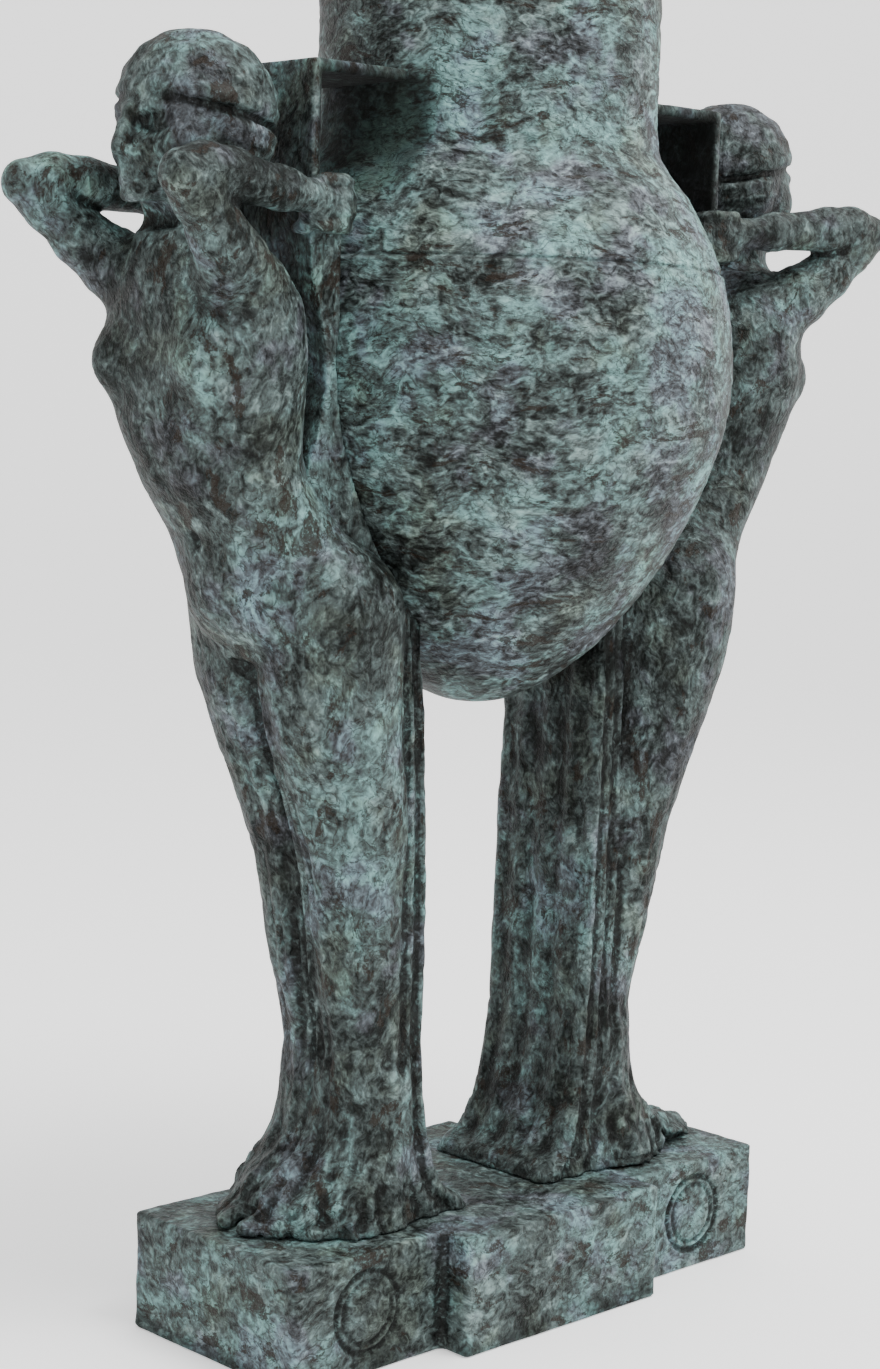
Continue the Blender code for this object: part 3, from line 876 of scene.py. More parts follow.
@dataclass
class Strap(Casting):
    """One strap handle: level from the neck, square down, then a pillar with a cove."""

    node = "vase"
    side: Side
    half_width: float = 0.060
    corner: float = 0.0025
    rib: float = 0.0123         # spacing of the upright grooves on its side faces
    grain: float = 0.0028       # spacing of its grid
    tooling: float = 0.0005     # depth of one unit of the tool marks
    outline: tuple = (
        (0.2654, 0.7520), (0.2654, 0.7720), (0.2609, 0.8060), (0.2502, 0.8400), (0.2446, 0.8680),
        (0.2446, 0.9020), (0.2502, 0.9300), (0.2609, 0.9640), (0.2654, 0.9980), (0.2654, 1.1500),
        (0.1570, 1.1500), (0.1570, 1.1390), (0.2544, 1.1390), (0.2544, 1.0495), (0.2284, 1.0225),
        (0.2284, 0.9320), (0.1620, 0.8620), (0.1620, 0.7120))

    def section(self) -> Section:
        """Distances to the strap's outline, seen from its edge."""
        return Section.around(np.array(self.outline), (0.10, 0.36), (0.62, 1.24), 0.0015)

    def field(self, section: Section, x: Array, y: Array, z: Array) -> Array:
        """Distance to the strap: its outline carried across its width, with rounded edges.

        The side faces have upright grooves: the width shrinks by a cosine of
        the distance through the strap, more on the pillar than above it.

        Args:
            section: The strap's own outline, from section().
            x: Distance from the middle of the part, out along the plinth.
            y: Place across the strap.
            z: Height.

        Returns:
            Distances in metres, negative inside.
        """
        flat = section.at(x, z)
        groove = 0.0016 * step(1.12, 1.02, z) + 0.0005
        half = self.half_width - groove * (0.5 - 0.5 * np.cos((STRAP_FACE - x) * (2 * math.pi / self.rib)))
        a, b = flat + self.corner, np.abs(y) - half + self.corner
        outside = np.sqrt(np.maximum(a, 0.0) ** 2 + np.maximum(b, 0.0) ** 2)
        return outside + np.minimum(np.maximum(a, b), 0.0) - self.corner

    def build(self, vase: Section, coarse: float) -> bpy.types.Object:
        """Skins the strap, cut to sit on the vase, and works its surface a little.

        Args:
            vase: The vase's distances.
            coarse: How many times the grid's spacing is widened.

        Returns:
            The mesh object.
        """
        section = self.section()
        grain = self.grain * coarse

        def whole(x: Array, y: Array, z: Array) -> Array:
            """The strap less the vase, in metres."""
            return np.maximum(self.field(section, x, y, z), GAP - vase.at(np.sqrt(x * x + y * y), z))

        grid = Grid(even(0.150, 0.272, grain), even(-0.066, 0.066, grain), even(0.700, 1.160, grain))
        vertices, faces = grid.skin(whole)
        clear = step(0.0, 0.006, vase.at(np.hypot(vertices[:, 0], vertices[:, 1]), vertices[:, 2]))
        marks = (Noise(11).at(vertices, (0.010, 0.010, 0.030)) * 0.5
                 + Noise(12).at(vertices, (0.005, 0.005, 0.012)) * 0.3 - 0.8)
        vertices += normals_of(vertices, faces) * (marks * self.tooling * clear)[:, None]
        if self.side is Side.LEFT:
            vertices[:, :2] *= -1
        # Painted shade on the strap's inner faces, in the gap between it and the neck.
        return piece(f"strap_{self.side.name.lower()}_casting", vertices, faces, behind(*vertices.T))


@dataclass
class Plinth(Casting):
    """The block under both women, wider at its middle, with ring roundels at its ends."""

    node = "plinth"
    length: float = 0.619
    width: float = 0.228
    height: float = PLINTH_TOP
    step_length: float = 0.259
    step_out: float = 0.033
    worn: float = 0.0045        # radius of its worn edges
    ring: float = 0.039         # outer radius of a roundel
    groove: float = 0.0110      # width of a roundel's two grooves together
    depth: float = 0.0036       # and their depth
    station: float = 0.2195     # of a roundel, from the middle
    grain: float = 0.0033       # spacing of its grid
    tooling: float = 0.0009     # depth of one unit of the dents and tool marks

    def field(self, x: Array, y: Array, z: Array) -> Array:
        """Distance to the plinth, in metres.

        Two blocks with worn edges are run together, and the roundels' grooves
        are taken out of their long faces.

        Args:
            x: Place along the plinth.
            y: Place across it.
            z: Height.

        Returns:
            Distances, negative inside.
        """
        middle = self.height / 2
        whole = None
        blocks = ((self.length / 2, self.width / 2), (self.step_length / 2, self.width / 2 + self.step_out))
        for long, wide in blocks:
            a, b = np.abs(x) - long + self.worn, np.abs(y) - wide + self.worn
            c = np.abs(z - middle) - middle + self.worn
            outside = np.sqrt(np.maximum(a, 0) ** 2 + np.maximum(b, 0) ** 2 + np.maximum(c, 0) ** 2)
            block = outside + np.minimum(np.maximum(np.maximum(a, b), c), 0.0) - self.worn
            whole = block if whole is None else ease(whole, block, 0.004)
        return whole + self.roundels(x, y, z) * self.depth

    def roundels(self, x: Array, y: Array, z: Array) -> Array:
        """How deep the roundels' two ring grooves are, as a share of their depth.

        Each groove is a bell of the distance from the roundel's middle.

        Args:
            x: Place along the plinth.
            y: Place across it.
            z: Height.

        Returns:
            The share, zero away from the roundels.
        """
        away = np.sqrt((np.abs(x) - self.station) ** 2 + (z - self.height / 2) ** 2)
        line = self.ring - self.groove / 2
        outer = bump(line + self.groove * 0.36, self.groove * 0.26, away)
        inner = bump(line - self.groove * 0.40, self.groove * 0.24, away) * 0.8
        return (outer + inner) * step(self.width / 2 - 0.012, self.width / 2 - 0.004, np.abs(y))

    def build(self, coarse: float) -> bpy.types.Object:
        """Skins the plinth and gives it dents and tool marks, none below its foot or past its box.

        Args:
            coarse: How many times the grid's spacing is widened.

        Returns:
            The mesh object.
        """
        grain = self.grain * coarse
        near, far = self.station - self.ring, self.station + self.ring
        pitch = [(-far, grain / 2), (-near, grain / 2), (0.006 - near, grain), (near - 0.006, grain),
                 (near, grain / 2), (far, grain / 2)]
        grid = Grid(spaced(-0.3150, 0.3150, pitch), even(-0.1520, 0.1520, grain),
                    even(-0.0040, 0.1170, grain / 2))
        vertices, faces = grid.skin(self.field)
        marks = (Noise(21).at(vertices, (0.034, 0.034, 0.020)) * 0.9
                 + Noise(22).at(vertices, (0.013, 0.013, 0.006)) * 0.5
                 + Noise(23).at(vertices, (0.006, 0.006, 0.004)) * 0.25 - 1.65)
        shift = normals_of(vertices, faces) * (marks * self.tooling)[:, None]
        shift[:, 2] *= step(0.001, 0.006, vertices[:, 2])
        vertices = np.maximum(vertices + shift, (-1.0, -1.0, 0.0))
        # Darker in noisy patches towards the bottom.
        low_patches = Noise(24).at(vertices, (0.05, 0.05, 0.03))
        darkened = step(0.032, 0.004, vertices[:, 2]) * step(-0.2, 0.5, low_patches) * 0.6
        # Painted shade in the roundels' grooves, together with the darker low patches.
        recess = np.maximum(np.clip(self.roundels(*vertices.T) * 0.5, 0.0, 1.0), darkened)
        return piece("plinth_casting", vertices, faces, recess)


@dataclass
class Woman(Casting):
    """One woman with raised arms, in a clinging skirt with a drape behind it.

    She is laid out in figure units along three axes: o runs out from the
    strap's face, s to her left, and u up from the plinth. The rows of leg,
    torso, hem and drape each start with the height.
    """

    side: Side
    drape_back: float           # the drape's back from the middle, in metres
    tuck: float                 # how far her feet stand further in, in metres
    reach: float                # how far her toes come out
    splay: float = 0.6          # how far both feet are set to her right
    knee: float = 40.0          # height above which she isn't moved in
    crown: tuple[float, float] = (7.7, 99.1)    # middle of her hair, out and up
    tilt: float = 12.0          # degrees that the cap of hair leans back by
    grain: float = 0.36         # spacing of her grid
    tooling: float = 0.075      # depth of one unit of the marks on skin
    weave: float = 0.050        # how much deeper they are on cloth
    leg: tuple = (
        (-1.0, -9.6, 3.6, 5.1), (3.0, -10.2, 3.3, 4.6), (8.8, -10.9, 2.8, 4.0), (14.8, -11.0, 2.6, 4.0),
        (23.8, -9.6, 2.8, 4.3), (32.8, -8.8, 3.3, 4.9), (38.8, -7.6, 3.6, 5.6), (44.8, -5.7, 3.8, 6.2),
        (50.8, -4.5, 4.2, 6.7), (56.8, -4.1, 4.3, 7.0), (60.0, -3.2, 3.9, 6.6), (62.4, -1.8, 3.3, 5.4),
        (64.0, -0.8, 2.6, 3.2))
    torso: tuple = (
        (52.0, -5.5, 8.2, 8.2), (55.5, -4.9, 8.9, 9.2), (59.8, -2.2, 8.4, 9.2), (62.8, 0.1, 7.5, 8.8),
        (65.8, 2.7, 7.0, 8.4), (68.8, 4.7, 6.9, 8.1), (71.8, 5.5, 7.2, 8.5), (74.8, 5.7, 7.3, 9.1),
        (78.8, 5.9, 7.2, 9.8), (82.8, 6.4, 6.9, 9.9), (85.8, 7.2, 5.9, 8.6), (88.8, 7.8, 4.4, 5.6))
    hem: tuple = (
        (-1.0, -0.3, 8.7), (1.4, -0.5, 8.5), (3.0, -1.2, 8.2), (4.6, -2.9, 7.9), (6.3, -5.1, 7.6),
        (8.2, -6.6, 7.4), (10.8, -7.4, 7.2), (14.0, -8.0, 6.8))
    hem_back: float = -16.0
    drape: tuple = (
        (-1.0, 5.6, 8.2), (1.2, 4.6, 8.1), (2.4, 2.6, 7.8), (5.0, 1.4, 7.4), (9.0, 0.5, 7.1),
        (15.0, 0.0, 7.0), (30.0, 0.0, 7.0), (46.0, -0.6, 6.9), (52.0, -1.0, 6.6), (57.0, -1.2, 6.2))
    drape_thickness: float = 4.6

    @property
    def node(self) -> str:
        """Her CAD node."""
        return f"woman_{self.side.name.lower()}"

    def skirt(self, o: Array, s: Array, u: Array) -> Array:
        """Legs under cloth, the pleats between them and the flared hem.

        Each leg is a stack of circles and the hem a stack of ellipses. The
        pleats are cosines of the side coordinate that fade away from the
        valley between the legs, and the hem's folds are cosines of the angle
        round it that fade upward.

        Args:
            o: Places out from the strap's face.
            s: Places to her left.
            u: Heights above the plinth.

        Returns:
            Distances in figure units, negative inside.
        """
        centre, across, radius = (curve(self.leg, n, u) for n in (1, 2, 3))
        legs = np.sqrt((o - centre) ** 2 + (np.abs(s) - across) ** 2) - radius
        back = (self.drape_back - STRAP_FACE) / UNIT + self.drape_thickness / 2
        front = centre + radius * 0.62
        apron = oval(o - (front + back) / 2, s, (front - back) / 2, across + radius * 0.45)
        both = ease(legs, apron, 0.9)
        ahead = step(-3.0, 0.0, o - centre)
        fine = np.cos(s * (2 * math.pi / 1.25) + 1.3 * np.sin(u * 0.16)) * bump(0.0, 3.0, s)
        fine = fine * (0.75 + 0.35 * np.cos(u * 0.31 + s * 0.8))
        broad = np.cos(s * (2 * math.pi / 2.9) + 1.1 + 0.9 * np.sin(u * 0.09)) * bump(0.0, 4.2, s)
        both = both + (fine * 0.24 + broad * 0.20) * ahead * step(54.0, 48.0, u)
        notch = limb((o, s, u), ((3.2, 0.0, 52.6, 1.5), (1.8, 0.0, 48.5, 0.9), (-0.2, 0.0, 43.0, 0.45)), 0.5)
        both = ease(both, notch, 1.3, Blend.CUT)
        valley = limb((o, s, u), ((0.2, 0.0, 44.0, 0.45), (-4.0, 0.0, 32.0, 0.5),
                                  (-6.6, 0.0, 18.0, 0.5)), 0.5)
        both = ease(both, valley, 0.6, Blend.CUT)
        both = np.maximum(both, u - 63.0)
        hem_front, hem_width = (curve(self.hem, n, u) for n in (1, 2))
        middle, depth = (hem_front + self.hem_back) / 2, (hem_front - self.hem_back) / 2
        hem = oval(o - middle, s, depth, hem_width)
        angle = np.arctan2(s, o - middle)
        folds = (np.cos(angle * 23 + 1.6 * np.sin(angle * 5) + u * 0.25) * 0.26
                 + np.cos(angle * 11 + 1.3 + 0.8 * np.sin(u * 0.5)) * 0.30
                 + np.cos(angle * 15 - u * 1.3) * np.cos(u * 1.9 + angle * 3) * 0.30 * step(6.0, 2.0, u))
        hem = np.maximum(hem + folds * step(13.0, 2.0, u), u - 13.5)
        both = ease(both, hem, 2.2)
        near = np.exp(-((np.abs(s) - 6.5) / 3.5) ** 2)
        streaks = np.cos(o * (2 * math.pi / 1.7) + 0.6 * np.sin(u * 0.21)) * 0.07 * near * step(50.0, 30.0, u)
        return both + streaks

    def drapery(self, o: Array, s: Array, u: Array) -> Array:
        """The cloth that hangs behind the legs: a slab with pleated edges and a waving back.

        Its half-width loses a cosine of the place through its thickness, and
        its back moves with slow cosines of the side coordinate.

        Args:
            o: Places out from the strap's face.
            s: Places to her left.
            u: Heights above the plinth.

        Returns:
            Distances in figure units, negative inside.
        """
        flare, width = (curve(self.drape, n, u) for n in (1, 2))
        half = (self.drape_thickness + flare) / 2
        middle = (self.drape_back - STRAP_FACE) / UNIT + self.drape_thickness / 2 - flare / 2
        through = (o - middle) / half
        pleat = 0.55 * (0.5 - 0.5 * np.cos(through * (math.pi * 3.0) + 0.3 * np.sin(u * 0.12)))
        wave = 0.16 * np.cos(s * (2 * math.pi / 3.4) + 0.5 * np.sin(u * 0.07)) * step(0.0, -0.8, through)
        body = slab(o - middle, s, half + wave, width - pleat, 0.8)
        return np.maximum(body, u - 58.0)

    def body(self, o: Array, s: Array, u: Array) -> Array:
        """Hips, belly, ribs and breast: a stack of ellipses with rounder forms run in.

        Args:
            o: Places out from the strap's face.
            s: Places to her left.
            u: Heights above the plinth.

        Returns:
            Distances in figure units, negative inside.
        """
        centre, depth, width = (curve(self.torso, n, u) for n in (1, 2, 3))
        torso = oval(o - centre, s, depth, width)
        torso = np.maximum(np.maximum(torso, u - 88.6), 52.0 - u)
        p = (o, s, u)
        a = np.abs(s)
        torso = ease(torso, ball((o, a, u), (8.2, 4.7, 78.6), (4.3, 4.3, 5.5)), 2.4)
        torso = ease(torso, ball((o, a, u), (11.8, 5.9, 77.8), (1.8, 1.6, 1.9)), 2.4)
        band = [(54.2, -4.5, 9.0, 9.3), (56.0, -3.8, 9.1, 9.45), (58.4, -2.6, 8.7, 9.3)]
        ring_centre, ring_depth, ring_width = (curve(band, n, np.clip(u, 54.2, 58.4)) for n in (1, 2, 3))
        girdle = oval(o - ring_centre, s, ring_depth, ring_width)
        level = np.maximum(53.7 - 0.5 * bump(0.0, 4.5, s) * step(-2.0, 3.0, o) - u, u - 58.6)
        torso = ease(torso, -ease(-girdle, -level, 2.2), 0.9)
        torso = ease(torso, ball(p, (-0.2, 0.0, 59.8), (6.6, 5.6, 5.6)), 2.4)
        torso = ease(torso, ball(p, (7.7, 0.0, 62.6), (0.9, 0.45, 0.6)), 0.7, Blend.CUT)
        fold = limb(p, ((5.6, 3.5, 56.4, 0.20), (2.0, 8.0, 57.4, 0.35), (-3.0, 9.3, 58.2, 0.25)), 0.4)
        torso = ease(torso, fold, 0.6, Blend.CUT)
        hollow = bump(0.0, 1.3, s) * bump(70.0, 7.0, u) * 0.28 * step(2.0, 8.0, o)
        ribs = bump(5.2, 2.6, a) * bump(72.6, 1.8, u) * 0.30 * step(2.0, 8.0, o)
        return torso + hollow - ribs

    def arm(self, o: Array, s: Array, u: Array) -> Array:
        """One raised arm and its hand, which grips the strap's edge.

        Args:
            o: Places out from the strap's face.
            s: Places to her left.
            u: Heights above the plinth.

        Returns:
            Distances in figure units, negative inside.
        """
        p = (o, s, u)
        upper = limb(p, ((7.6, 6.6, 84.2, 3.4), (10.2, 8.0, 86.1, 2.9), (12.8, 9.3, 88.2, 2.4),
                         (15.6, 10.2, 90.8, 2.1), (17.7, 10.8, 92.4, 1.9)), 1.2)
        fore = limb(p, ((17.7, 10.8, 92.8, 1.9), (15.2, 10.4, 93.0, 2.2), (12.2, 9.8, 92.8, 2.2),
                        (5.5, 8.4, 92.3, 1.8), (0.8, 7.5, 91.8, 1.5)), 1.0)
        whole = ease(upper, fore, 0.5)
        palm = ball(p, (-1.2, 7.0, 91.5), (2.9, 1.25, 2.7))
        whole = ease(whole, palm, 1.4)
        for finger in range(4):
            level = 93.5 - 1.28 * finger
            short = 0.35 * (finger - 1.3) ** 2 * 0.4
            digit = limb(p, ((0.2, 7.9, level, 0.70), (-2.2 + short, 7.75, level - 0.05, 0.68),
                             (-3.9 + short, 6.6, level - 0.1, 0.60)), 0.3)
            whole = ease(whole, digit, 0.28)
        thumb = limb(p, ((1.2, 7.4, 90.8, 0.9), (0.9, 6.2, 89.6, 0.75), (0.75, 5.0, 89.4, 0.6)), 0.4)
        return ease(whole, thumb, 0.5)

    def face(self, o: Array, s: Array, u: Array) -> Array:
        """A plain oval face, the same on both sides: eyes, brow, nose, mouth and chin.

        Args:
            o: Places out from the strap's face.
            s: Places to her left.
            u: Heights above the plinth.

        Returns:
            Distances in figure units, negative inside.
        """
        p, q = (o, s, u), (o, np.abs(s), u)
        face = ball(p, (8.4, 0.0, 98.0), (6.5, 5.7, 6.8))
        face = ease(face, ball(p, (9.9, 0.0, 94.8), (4.9, 4.4, 4.7)), 1.6)
        face = ease(face, ball(p, (12.5, 0.0, 92.3), (2.0, 2.0, 1.6)), 1.5)
        face = ease(face, ball(q, (11.4, 3.1, 95.6), (2.4, 1.6, 1.7)), 1.6)
        face = ease(face, ball(q, (15.0, 2.5, 97.3), (1.6, 1.75, 1.0)), 1.0, Blend.CUT)
        face = ease(face, ball(q, (12.7, 2.45, 97.2), (1.25, 1.35, 1.0)), 0.2)
        seam = limb(q, ((14.0, 1.2, 97.0, 0.15), (14.15, 2.4, 96.7, 0.17), (13.4, 3.7, 97.0, 0.15)), 0.2)
        face = ease(face, seam, 0.15, Blend.CUT)
        brow = limb(q, ((14.5, 0.8, 98.5, 0.34), (14.05, 2.4, 98.75, 0.34), (13.0, 4.0, 98.2, 0.28)), 0.5)
        face = ease(face, brow, 0.6)
        nose = limb(p, ((14.9, 0.0, 98.4, 0.50), (15.5, 0.0, 96.8, 0.52), (16.0, 0.0, 95.2, 0.66)), 0.5)
        nose = ease(nose, ball(q, (15.15, 0.72, 94.95), (0.72, 0.5, 0.5)), 0.4)
        face = ease(face, nose, 0.7)
        face = ease(face, ball(p, (13.9, 0.0, 94.2), (1.1, 1.7, 1.1)), 1.2)
        upper_lip = limb(q, ((15.2, 0.0, 93.6, 0.34), (14.9, 0.7, 93.55, 0.28), (14.1, 1.5, 93.2, 0.14)), 0.3)
        lower_lip = limb(q, ((15.1, 0.0, 92.75, 0.44), (14.75, 0.7, 92.8, 0.38),
                             (14.1, 1.45, 93.0, 0.18)), 0.3)
        face = ease(face, limb(q, ((15.1, 0.0, 93.2, 0.5), (14.3, 1.6, 93.1, 0.35)), 0.3), 0.5)
        mouth = limb(q, ((15.75, 0.0, 93.2, 0.16), (15.4, 0.8, 93.22, 0.16), (14.5, 1.7, 93.05, 0.14)), 0.2)
        face = ease(ease(face, upper_lip, 0.3), lower_lip, 0.25)
        face = ease(face, mouth, 0.15, Blend.CUT)
        face = ease(face, ball(p, (13.9, 0.0, 91.4), (1.2, 1.7, 1.1)), 1.3)
        return face

    def hair(self, o: Array, s: Array, u: Array, bare: Array) -> Array:
        """Adds a close cap of hair to the head, with a brim low on the brow and a slit under it.

        The cap is an ellipsoid leant back, cut off along the brim. Its strands
        are cosines of the angle round the head.

        Args:
            o: Places out from the strap's face.
            s: Places to her left.
            u: Heights above the plinth.
            bare: Distances to the head without hair.

        Returns:
            Distances in figure units, negative inside.
        """
        p, a = (o, s, u), np.abs(s)
        tilt = math.radians(self.tilt)
        ahead, above = o - self.crown[0], u - self.crown[1]
        turned = ahead * math.cos(tilt) + above * math.sin(tilt)
        raised = above * math.cos(tilt) - ahead * math.sin(tilt)
        dome = ball((turned, s, raised), (0.0, 0.0, 0.0), (7.15, 6.6, 6.5))
        brim = 98.1 + 0.17 * (o - 5.0) - u
        strand = 0.06 * np.cos((u - 0.17 * o) * 5.2)
        combed = (np.cos(np.arctan2(s, u - 96.0) * 21 + 0.8 * np.sin(o * 0.6)) * 0.07
                  + np.cos(np.arctan2(s, u - 96.0) * 15 + o * 1.9) * 0.05)
        cap = -ease(-(dome + combed + 0.05 * np.cos(brim * 3.6 + 0.5 * np.sin(o * 0.7))), -brim, 0.5)
        under = ball(p, (6.9, 0.0, 96.9), (6.2, 6.25, 5.6)) + strand
        under = np.maximum(under, 0.35 + (o - 9.6) - 0.25 * (u - 97))
        whole = ease(ease(bare, under, 0.5), cap, 0.12)
        slit = np.maximum(np.abs(brim - 0.3) - 0.24, -0.8 * step(2.0, 5.5, a) - dome)
        return ease(whole, slit, 0.3, Blend.CUT)

    def head(self, o: Array, s: Array, u: Array) -> Array:
        """Neck, face and hair. The neck has a cord on each side.

        Args:
            o: Places out from the strap's face.
            s: Places to her left.
            u: Heights above the plinth.

        Returns:
            Distances in figure units, negative inside.
        """
        p, q = (o, s, u), (o, np.abs(s), u)
        neck = limb(p, ((8.4, 0.0, 84.5, 4.2), (8.4, 0.0, 89.0, 3.9), (8.0, 0.0, 92.5, 3.6),
                        (7.8, 0.0, 96.0, 3.6)), 1.5)
        cords = limb(q, ((9.6, 3.4, 95.0, 0.9), (11.0, 0.8, 87.2, 0.8)), 0.5)
        neck = ease(neck, cords, 1.2)
        whole = ease(neck, self.face(o, s, u), 1.0)
        under_jaw = ball(p, (12.9, 0.0, 89.4), (2.0, 4.4, 1.4))
        return self.hair(o, s, u, ease(whole, under_jaw, 1.4, Blend.CUT))

    def feet(self, o: Array, s: Array, u: Array) -> Array:
        """The fore part of both feet under the hem, with toes.

        Args:
            o: Places out from the strap's face.
            s: Places to her left.
            u: Heights above the plinth.

        Returns:
            Distances in figure units, negative inside.
        """
        a, r = np.abs(s + self.splay), self.reach
        q = (o, a, u)
        foot = limb(q, ((r - 5.2, 3.0, 2.0, 2.1), (r - 0.8, 3.2, 0.9, 1.5), (r + 1.2, 3.3, 0.6, 1.2)), 1.5)
        for order in range(5):
            across = 1.35 + 0.98 * order
            out = r + 3.4 - 0.28 * order - 0.10 * order * order
            radius = 0.85 if order == 0 else 0.66 - 0.04 * order
            toe = limb(q, ((out - 2.6, across, 1.2, radius), (out - 0.9, across, 1.0, radius * 0.85),
                           (out, across, 0.62, radius)), 0.3)
            foot = ease(foot, toe, 0.25)
        return foot

    def field(self, o: Array, s: Array, u: Array) -> Array:
        """All her forms run together.

        Args:
            o: Places out from the strap's face.
            s: Places to her left.
            u: Heights above the plinth.

        Returns:
            Distances in figure units, negative inside.
        """
        whole = ease(self.skirt(o, s, u), self.body(o, s, u), 0.9)
        whole = ease(whole, self.arm(o, np.abs(s), u), 1.6)
        whole = ease(whole, self.head(o, s, u), 1.3)
        whole = ease(whole, self.feet(o, s, u), 0.4)
        return ease(whole, self.drapery(o, s, u), 0.35)

    def to_frame(self, o: Array, s: Array, u: Array) -> tuple[Array, Array, Array]:
        """Turns figure units into metres, as if she stood on the right.

        Args:
            o: Places out from the strap's face.
            s: Places to her left.
            u: Heights above the plinth.

        Returns:
            The places along X, Y and Z.
        """
        inward = self.tuck * np.maximum(0.0, 1.0 - u / self.knee) ** 2
        return STRAP_FACE + o * UNIT - inward, s * UNIT, PLINTH_TOP + u * UNIT

    def build(self, vase: Section, strap: Strap, coarse: float) -> bpy.types.Object:
        """Skins her, cut clear of the vase, the strap and the plinth, and works her surface.

        Args:
            vase: The vase's distances.
            strap: The strap that she carries.
            coarse: How many times the grid's spacing is widened.

        Returns:
            The mesh object.
        """
        section = strap.section()
        grain = self.grain * coarse

        def cutters(o: Array, s: Array, u: Array) -> Array:
            """Distance outside everything that she has to stay clear of, in figure units."""
            x, y, z = self.to_frame(o, s, u)
            near = np.minimum(vase.at(np.sqrt(x * x + y * y), z), strap.field(section, x, y, z))
            return np.minimum(near, z - PLINTH_TOP) / UNIT

        def whole(o: Array, s: Array, u: Array) -> Array:
            """Her own forms less what she has to stay clear of."""
            return np.maximum(self.field(o, s, u), GAP / UNIT - cutters(o, s, u))

        levels = [(0.0, grain * 0.8), (5.0, grain * 0.9), (14.0, grain * 1.9), (52.0, grain * 1.9),
                  (60.0, grain * 1.4), (84.0, grain * 1.2), (90.0, grain * 0.65), (99.5, grain * 0.65),
                  (101.0, grain), (106.0, grain * 1.2)]
        outward = [(9.0, grain), (12.5, grain * 0.65), (16.5, grain * 0.65), (17.5, grain * 1.1)]
        across = [(-6.0, grain * 1.1), (-4.5, grain * 0.75), (4.5, grain * 0.75), (6.0, grain * 1.1)]
        grid = Grid(spaced(-22.6, 21.0, outward), spaced(-13.4, 13.4, across), spaced(-0.2, 106.6, levels))
        vertices, faces = grid.skin(whole)
        clear = step(0.02, 0.6, cutters(*vertices.T.astype(np.float32)))
        marks = (Noise(31).at(vertices, (1.2, 1.2, 2.4)) * 0.75
                 + Noise(32).at(vertices, (0.6, 0.6, 1.1)) * 0.5
                 + Noise(33).at(vertices, (3.5, 3.5, 6.0)) * 0.8 - 1.1)
        marks = marks - 1.1 * np.maximum(0.0, 1.0 - 6.0 * np.abs(Noise(34).at(vertices, (1.5, 1.5, 2.0))))
        calm = 1.0 - 0.6 * step(89.5, 91.5, vertices[:, 2]) * step(5.0, 9.0, vertices[:, 0])
        depth = self.tooling + self.weave * step(60.0, 55.0, vertices[:, 2])
        vertices = vertices + normals_of(vertices, faces) * (marks * depth * clear * calm)[:, None]
        x, y, z = self.to_frame(*vertices.T)
        placed = np.column_stack([x * self.side.value, y * self.side.value, z])
        # Painted shade where she comes close to the vase, the strap or the plinth.
        recess = step(1.0, 0.05, cutters(*vertices.T.astype(np.float32)))
        return piece(f"{self.node}_casting", placed, faces, recess * 0.6)


@dataclass(frozen=True)
class FloorPaint:
    """A pale matt floor that glows a little, so that its far side stays light."""

    name: str = "pale_floor"
    colour: tuple[float, float, float, float] = (0.95, 0.95, 0.95, 1.0)
    glow: float = 0.42
    rough: float = 0.9

    def material(self) -> bpy.types.Material:
        """Sets the shader's own values.

        Returns:
            The material.
        """
        material = bpy.data.materials.new(self.name)
        material.use_nodes = True
        shader = material.node_tree.nodes["Principled BSDF"]
        shader.inputs["Base Color"].default_value = self.colour
        shader.inputs["Emission Color"].default_value = (1.0, 1.0, 1.0, 1.0)
        shader.inputs["Emission Strength"].default_value = self.glow
        shader.inputs["Roughness"].default_value = self.rough
        return material


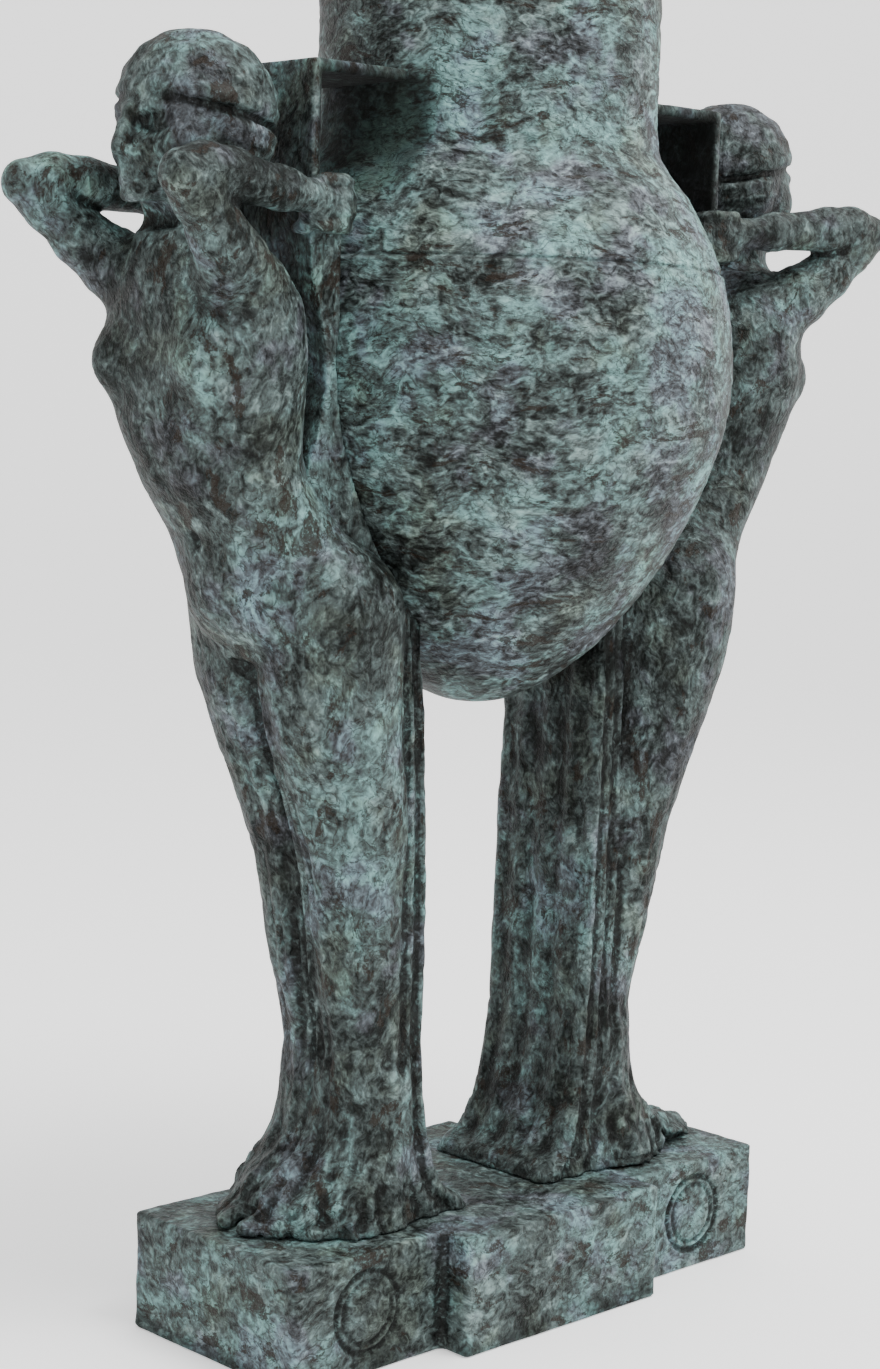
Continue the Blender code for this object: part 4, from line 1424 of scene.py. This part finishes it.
@dataclass
class Studio:
    """A pale floor that runs up into a backdrop, soft light, and the photograph's camera."""

    yaw: float = -0.7655
    pitch: float = 0.1162
    roll: float = -0.0252
    focal: float = 2613.4873            # in pixels of a frame 1369 high
    frame_height: float = 1369.0
    offset: tuple[float, float] = (-0.031, 0.5886)
    distance: float = 2.5621
    sensor: float = 36.0                # height of the camera's sensor in millimetres
    aim: tuple[float, float, float] = (0.0, 0.0, 0.7)
    surround: float = 1.25              # strength of the even light from all round
    around: int = 96                    # corners of each ring of the floor
    level: float = 7.0                  # the floor's radius where it begins to rise
    rise: float = 4.0                   # radius of the quarter circle that it rises in

    def floor(self) -> bpy.types.Object:
        """One sheet: level out to a radius, then rising as a quarter circle.

        Returns:
            The floor.
        """
        angle = np.linspace(0, 2 * math.pi, self.around, endpoint=False)
        flat = np.array([0.5, 2.0, 5.0])
        bend = np.linspace(0, math.pi / 2, 14)
        radius = np.concatenate([flat, self.level + self.rise * np.sin(bend)])
        height = np.concatenate([flat * 0, self.rise * (1 - np.cos(bend))])
        ring = np.stack([radius[:, None] * np.cos(angle), radius[:, None] * np.sin(angle),
                         height[:, None] + 0 * angle], axis=2).reshape(-1, 3)
        row, column = np.meshgrid(np.arange(len(radius) - 1), np.arange(self.around), indexing="ij")
        after = (column + 1) % self.around
        here, beyond = row * self.around, (row + 1) * self.around
        quads = np.stack([here + column, beyond + column, beyond + after, here + after], axis=2)
        quads = quads.reshape(-1, 4).tolist()
        mesh = bpy.data.meshes.new("floor")
        mesh.from_pydata(ring.tolist(), [], quads + [list(range(self.around))])
        mesh.polygons.foreach_set("use_smooth", [True] * len(mesh.polygons))
        floor = bpy.data.objects.new("floor", mesh)
        bpy.context.scene.collection.objects.link(floor)
        mesh.materials.append(FloorPaint().material())
        return floor

    def light(self, name: str, place: Sequence[float], power: float, size: float) -> None:
        """One soft square lamp, aimed at the vase.

        Args:
            name: Its name.
            place: Where it hangs.
            power: Its power in watts.
            size: The length of its side.
        """
        lamp = bpy.data.lights.new(name, "AREA")
        lamp.energy = power
        lamp.size = size
        thing = bpy.data.objects.new(name, lamp)
        thing.location = place
        aim = Vector(self.aim) - Vector(place)
        thing.rotation_mode = "QUATERNION"
        thing.rotation_quaternion = aim.to_track_quat("-Z", "Y")
        bpy.context.scene.collection.objects.link(thing)

    def lights(self) -> None:
        """A bright even surround and soft lamps above and to the sides."""
        world = bpy.data.worlds.new("surround")
        world.use_nodes = True
        back = world.node_tree.nodes["Background"]
        back.inputs[0].default_value = (1.0, 1.0, 1.0, 1.0)
        back.inputs[1].default_value = self.surround
        bpy.context.scene.world = world
        self.light("key", (0.5, -1.8, 4.4), 200.0, 1.8)
        self.light("fill", (3.0, -0.8, 2.2), 28.0, 2.0)

    def camera(self) -> bpy.types.Object:
        """The camera fitted to the photograph's outlines.

        Yaw and pitch give the direction from the bronze back to the camera, and
        the roll turns the frame about it. The camera stands its distance back
        along that direction, moved right and up by the offset.

        Returns:
            The camera.
        """
        sy, cy = math.sin(self.yaw), math.cos(self.yaw)
        sp, cp = math.sin(self.pitch), math.cos(self.pitch)
        back = Vector((sy * cp, -cy * cp, sp))
        right = Vector((cy, sy, 0.0))
        up = back.cross(right)
        c, s = math.cos(self.roll), math.sin(self.roll)
        across, above = right * c - up * s, right * s + up * c
        data = bpy.data.cameras.new("camera")
        data.sensor_fit = "VERTICAL"
        data.sensor_height = self.sensor
        data.lens = self.focal * self.sensor / self.frame_height
        camera = bpy.data.objects.new("camera", data)
        camera.location = back * self.distance + right * self.offset[0] + up * self.offset[1]
        camera.rotation_mode = "QUATERNION"
        camera.rotation_quaternion = Matrix((across, above, back)).transposed().to_quaternion()
        bpy.context.scene.collection.objects.link(camera)
        return camera


def corners(box: tuple[Vector, Vector]) -> list[list[float]]:
    """A box as plain lists."""
    return [list(corner) for corner in box]


def main() -> None:
    """Builds the pieces in order, dresses them and sets up the studio."""
    logging.basicConfig(level=logging.INFO, format="%(name)s: %(message)s")
    for thing in list(bpy.data.objects):
        bpy.data.objects.remove(thing, do_unlink=True)
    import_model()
    coarse = 1.0
    level = Patina("vase_patina", (0.80, 0.80, 1.36), 0.008, 1.02, 0.052)
    upright = Patina("woman_patina", (1.06, 1.06, 0.86), -0.027, 0.82, 0.0)
    block = Patina("plinth_patina", (0.92, 0.92, 1.12), 0.012, 0.80, 0.0)
    plinth, vase = Plinth(), Vase()
    section = vase.distances()
    straps = {side: Strap(side) for side in Side}
    women = {Side.LEFT: Woman(Side.LEFT, drape_back=0.113, tuck=0.0, reach=-2.2),
             Side.RIGHT: Woman(Side.RIGHT, drape_back=0.100, tuck=0.012, reach=0.8)}
    upright_finish = upright.material()
    level_finish = level.material()
    jobs = [(plinth, plinth.build(coarse), block.material()), (vase, vase.build(), level_finish)]
    for side in Side:
        strap, woman = straps[side], women[side]
        jobs.append((strap, strap.build(section, coarse), upright_finish))
        jobs.append((woman, woman.build(section, strap, coarse), upright_finish))
    for casting, thing, finish in jobs:
        casting.dress(thing, finish)
        log.info("%s: %d faces", thing.name, len(thing.data.polygons))
    studio = Studio()
    studio.floor()
    studio.lights()
    bpy.context.scene.camera = studio.camera()


if __name__ == "__main__":
    main()
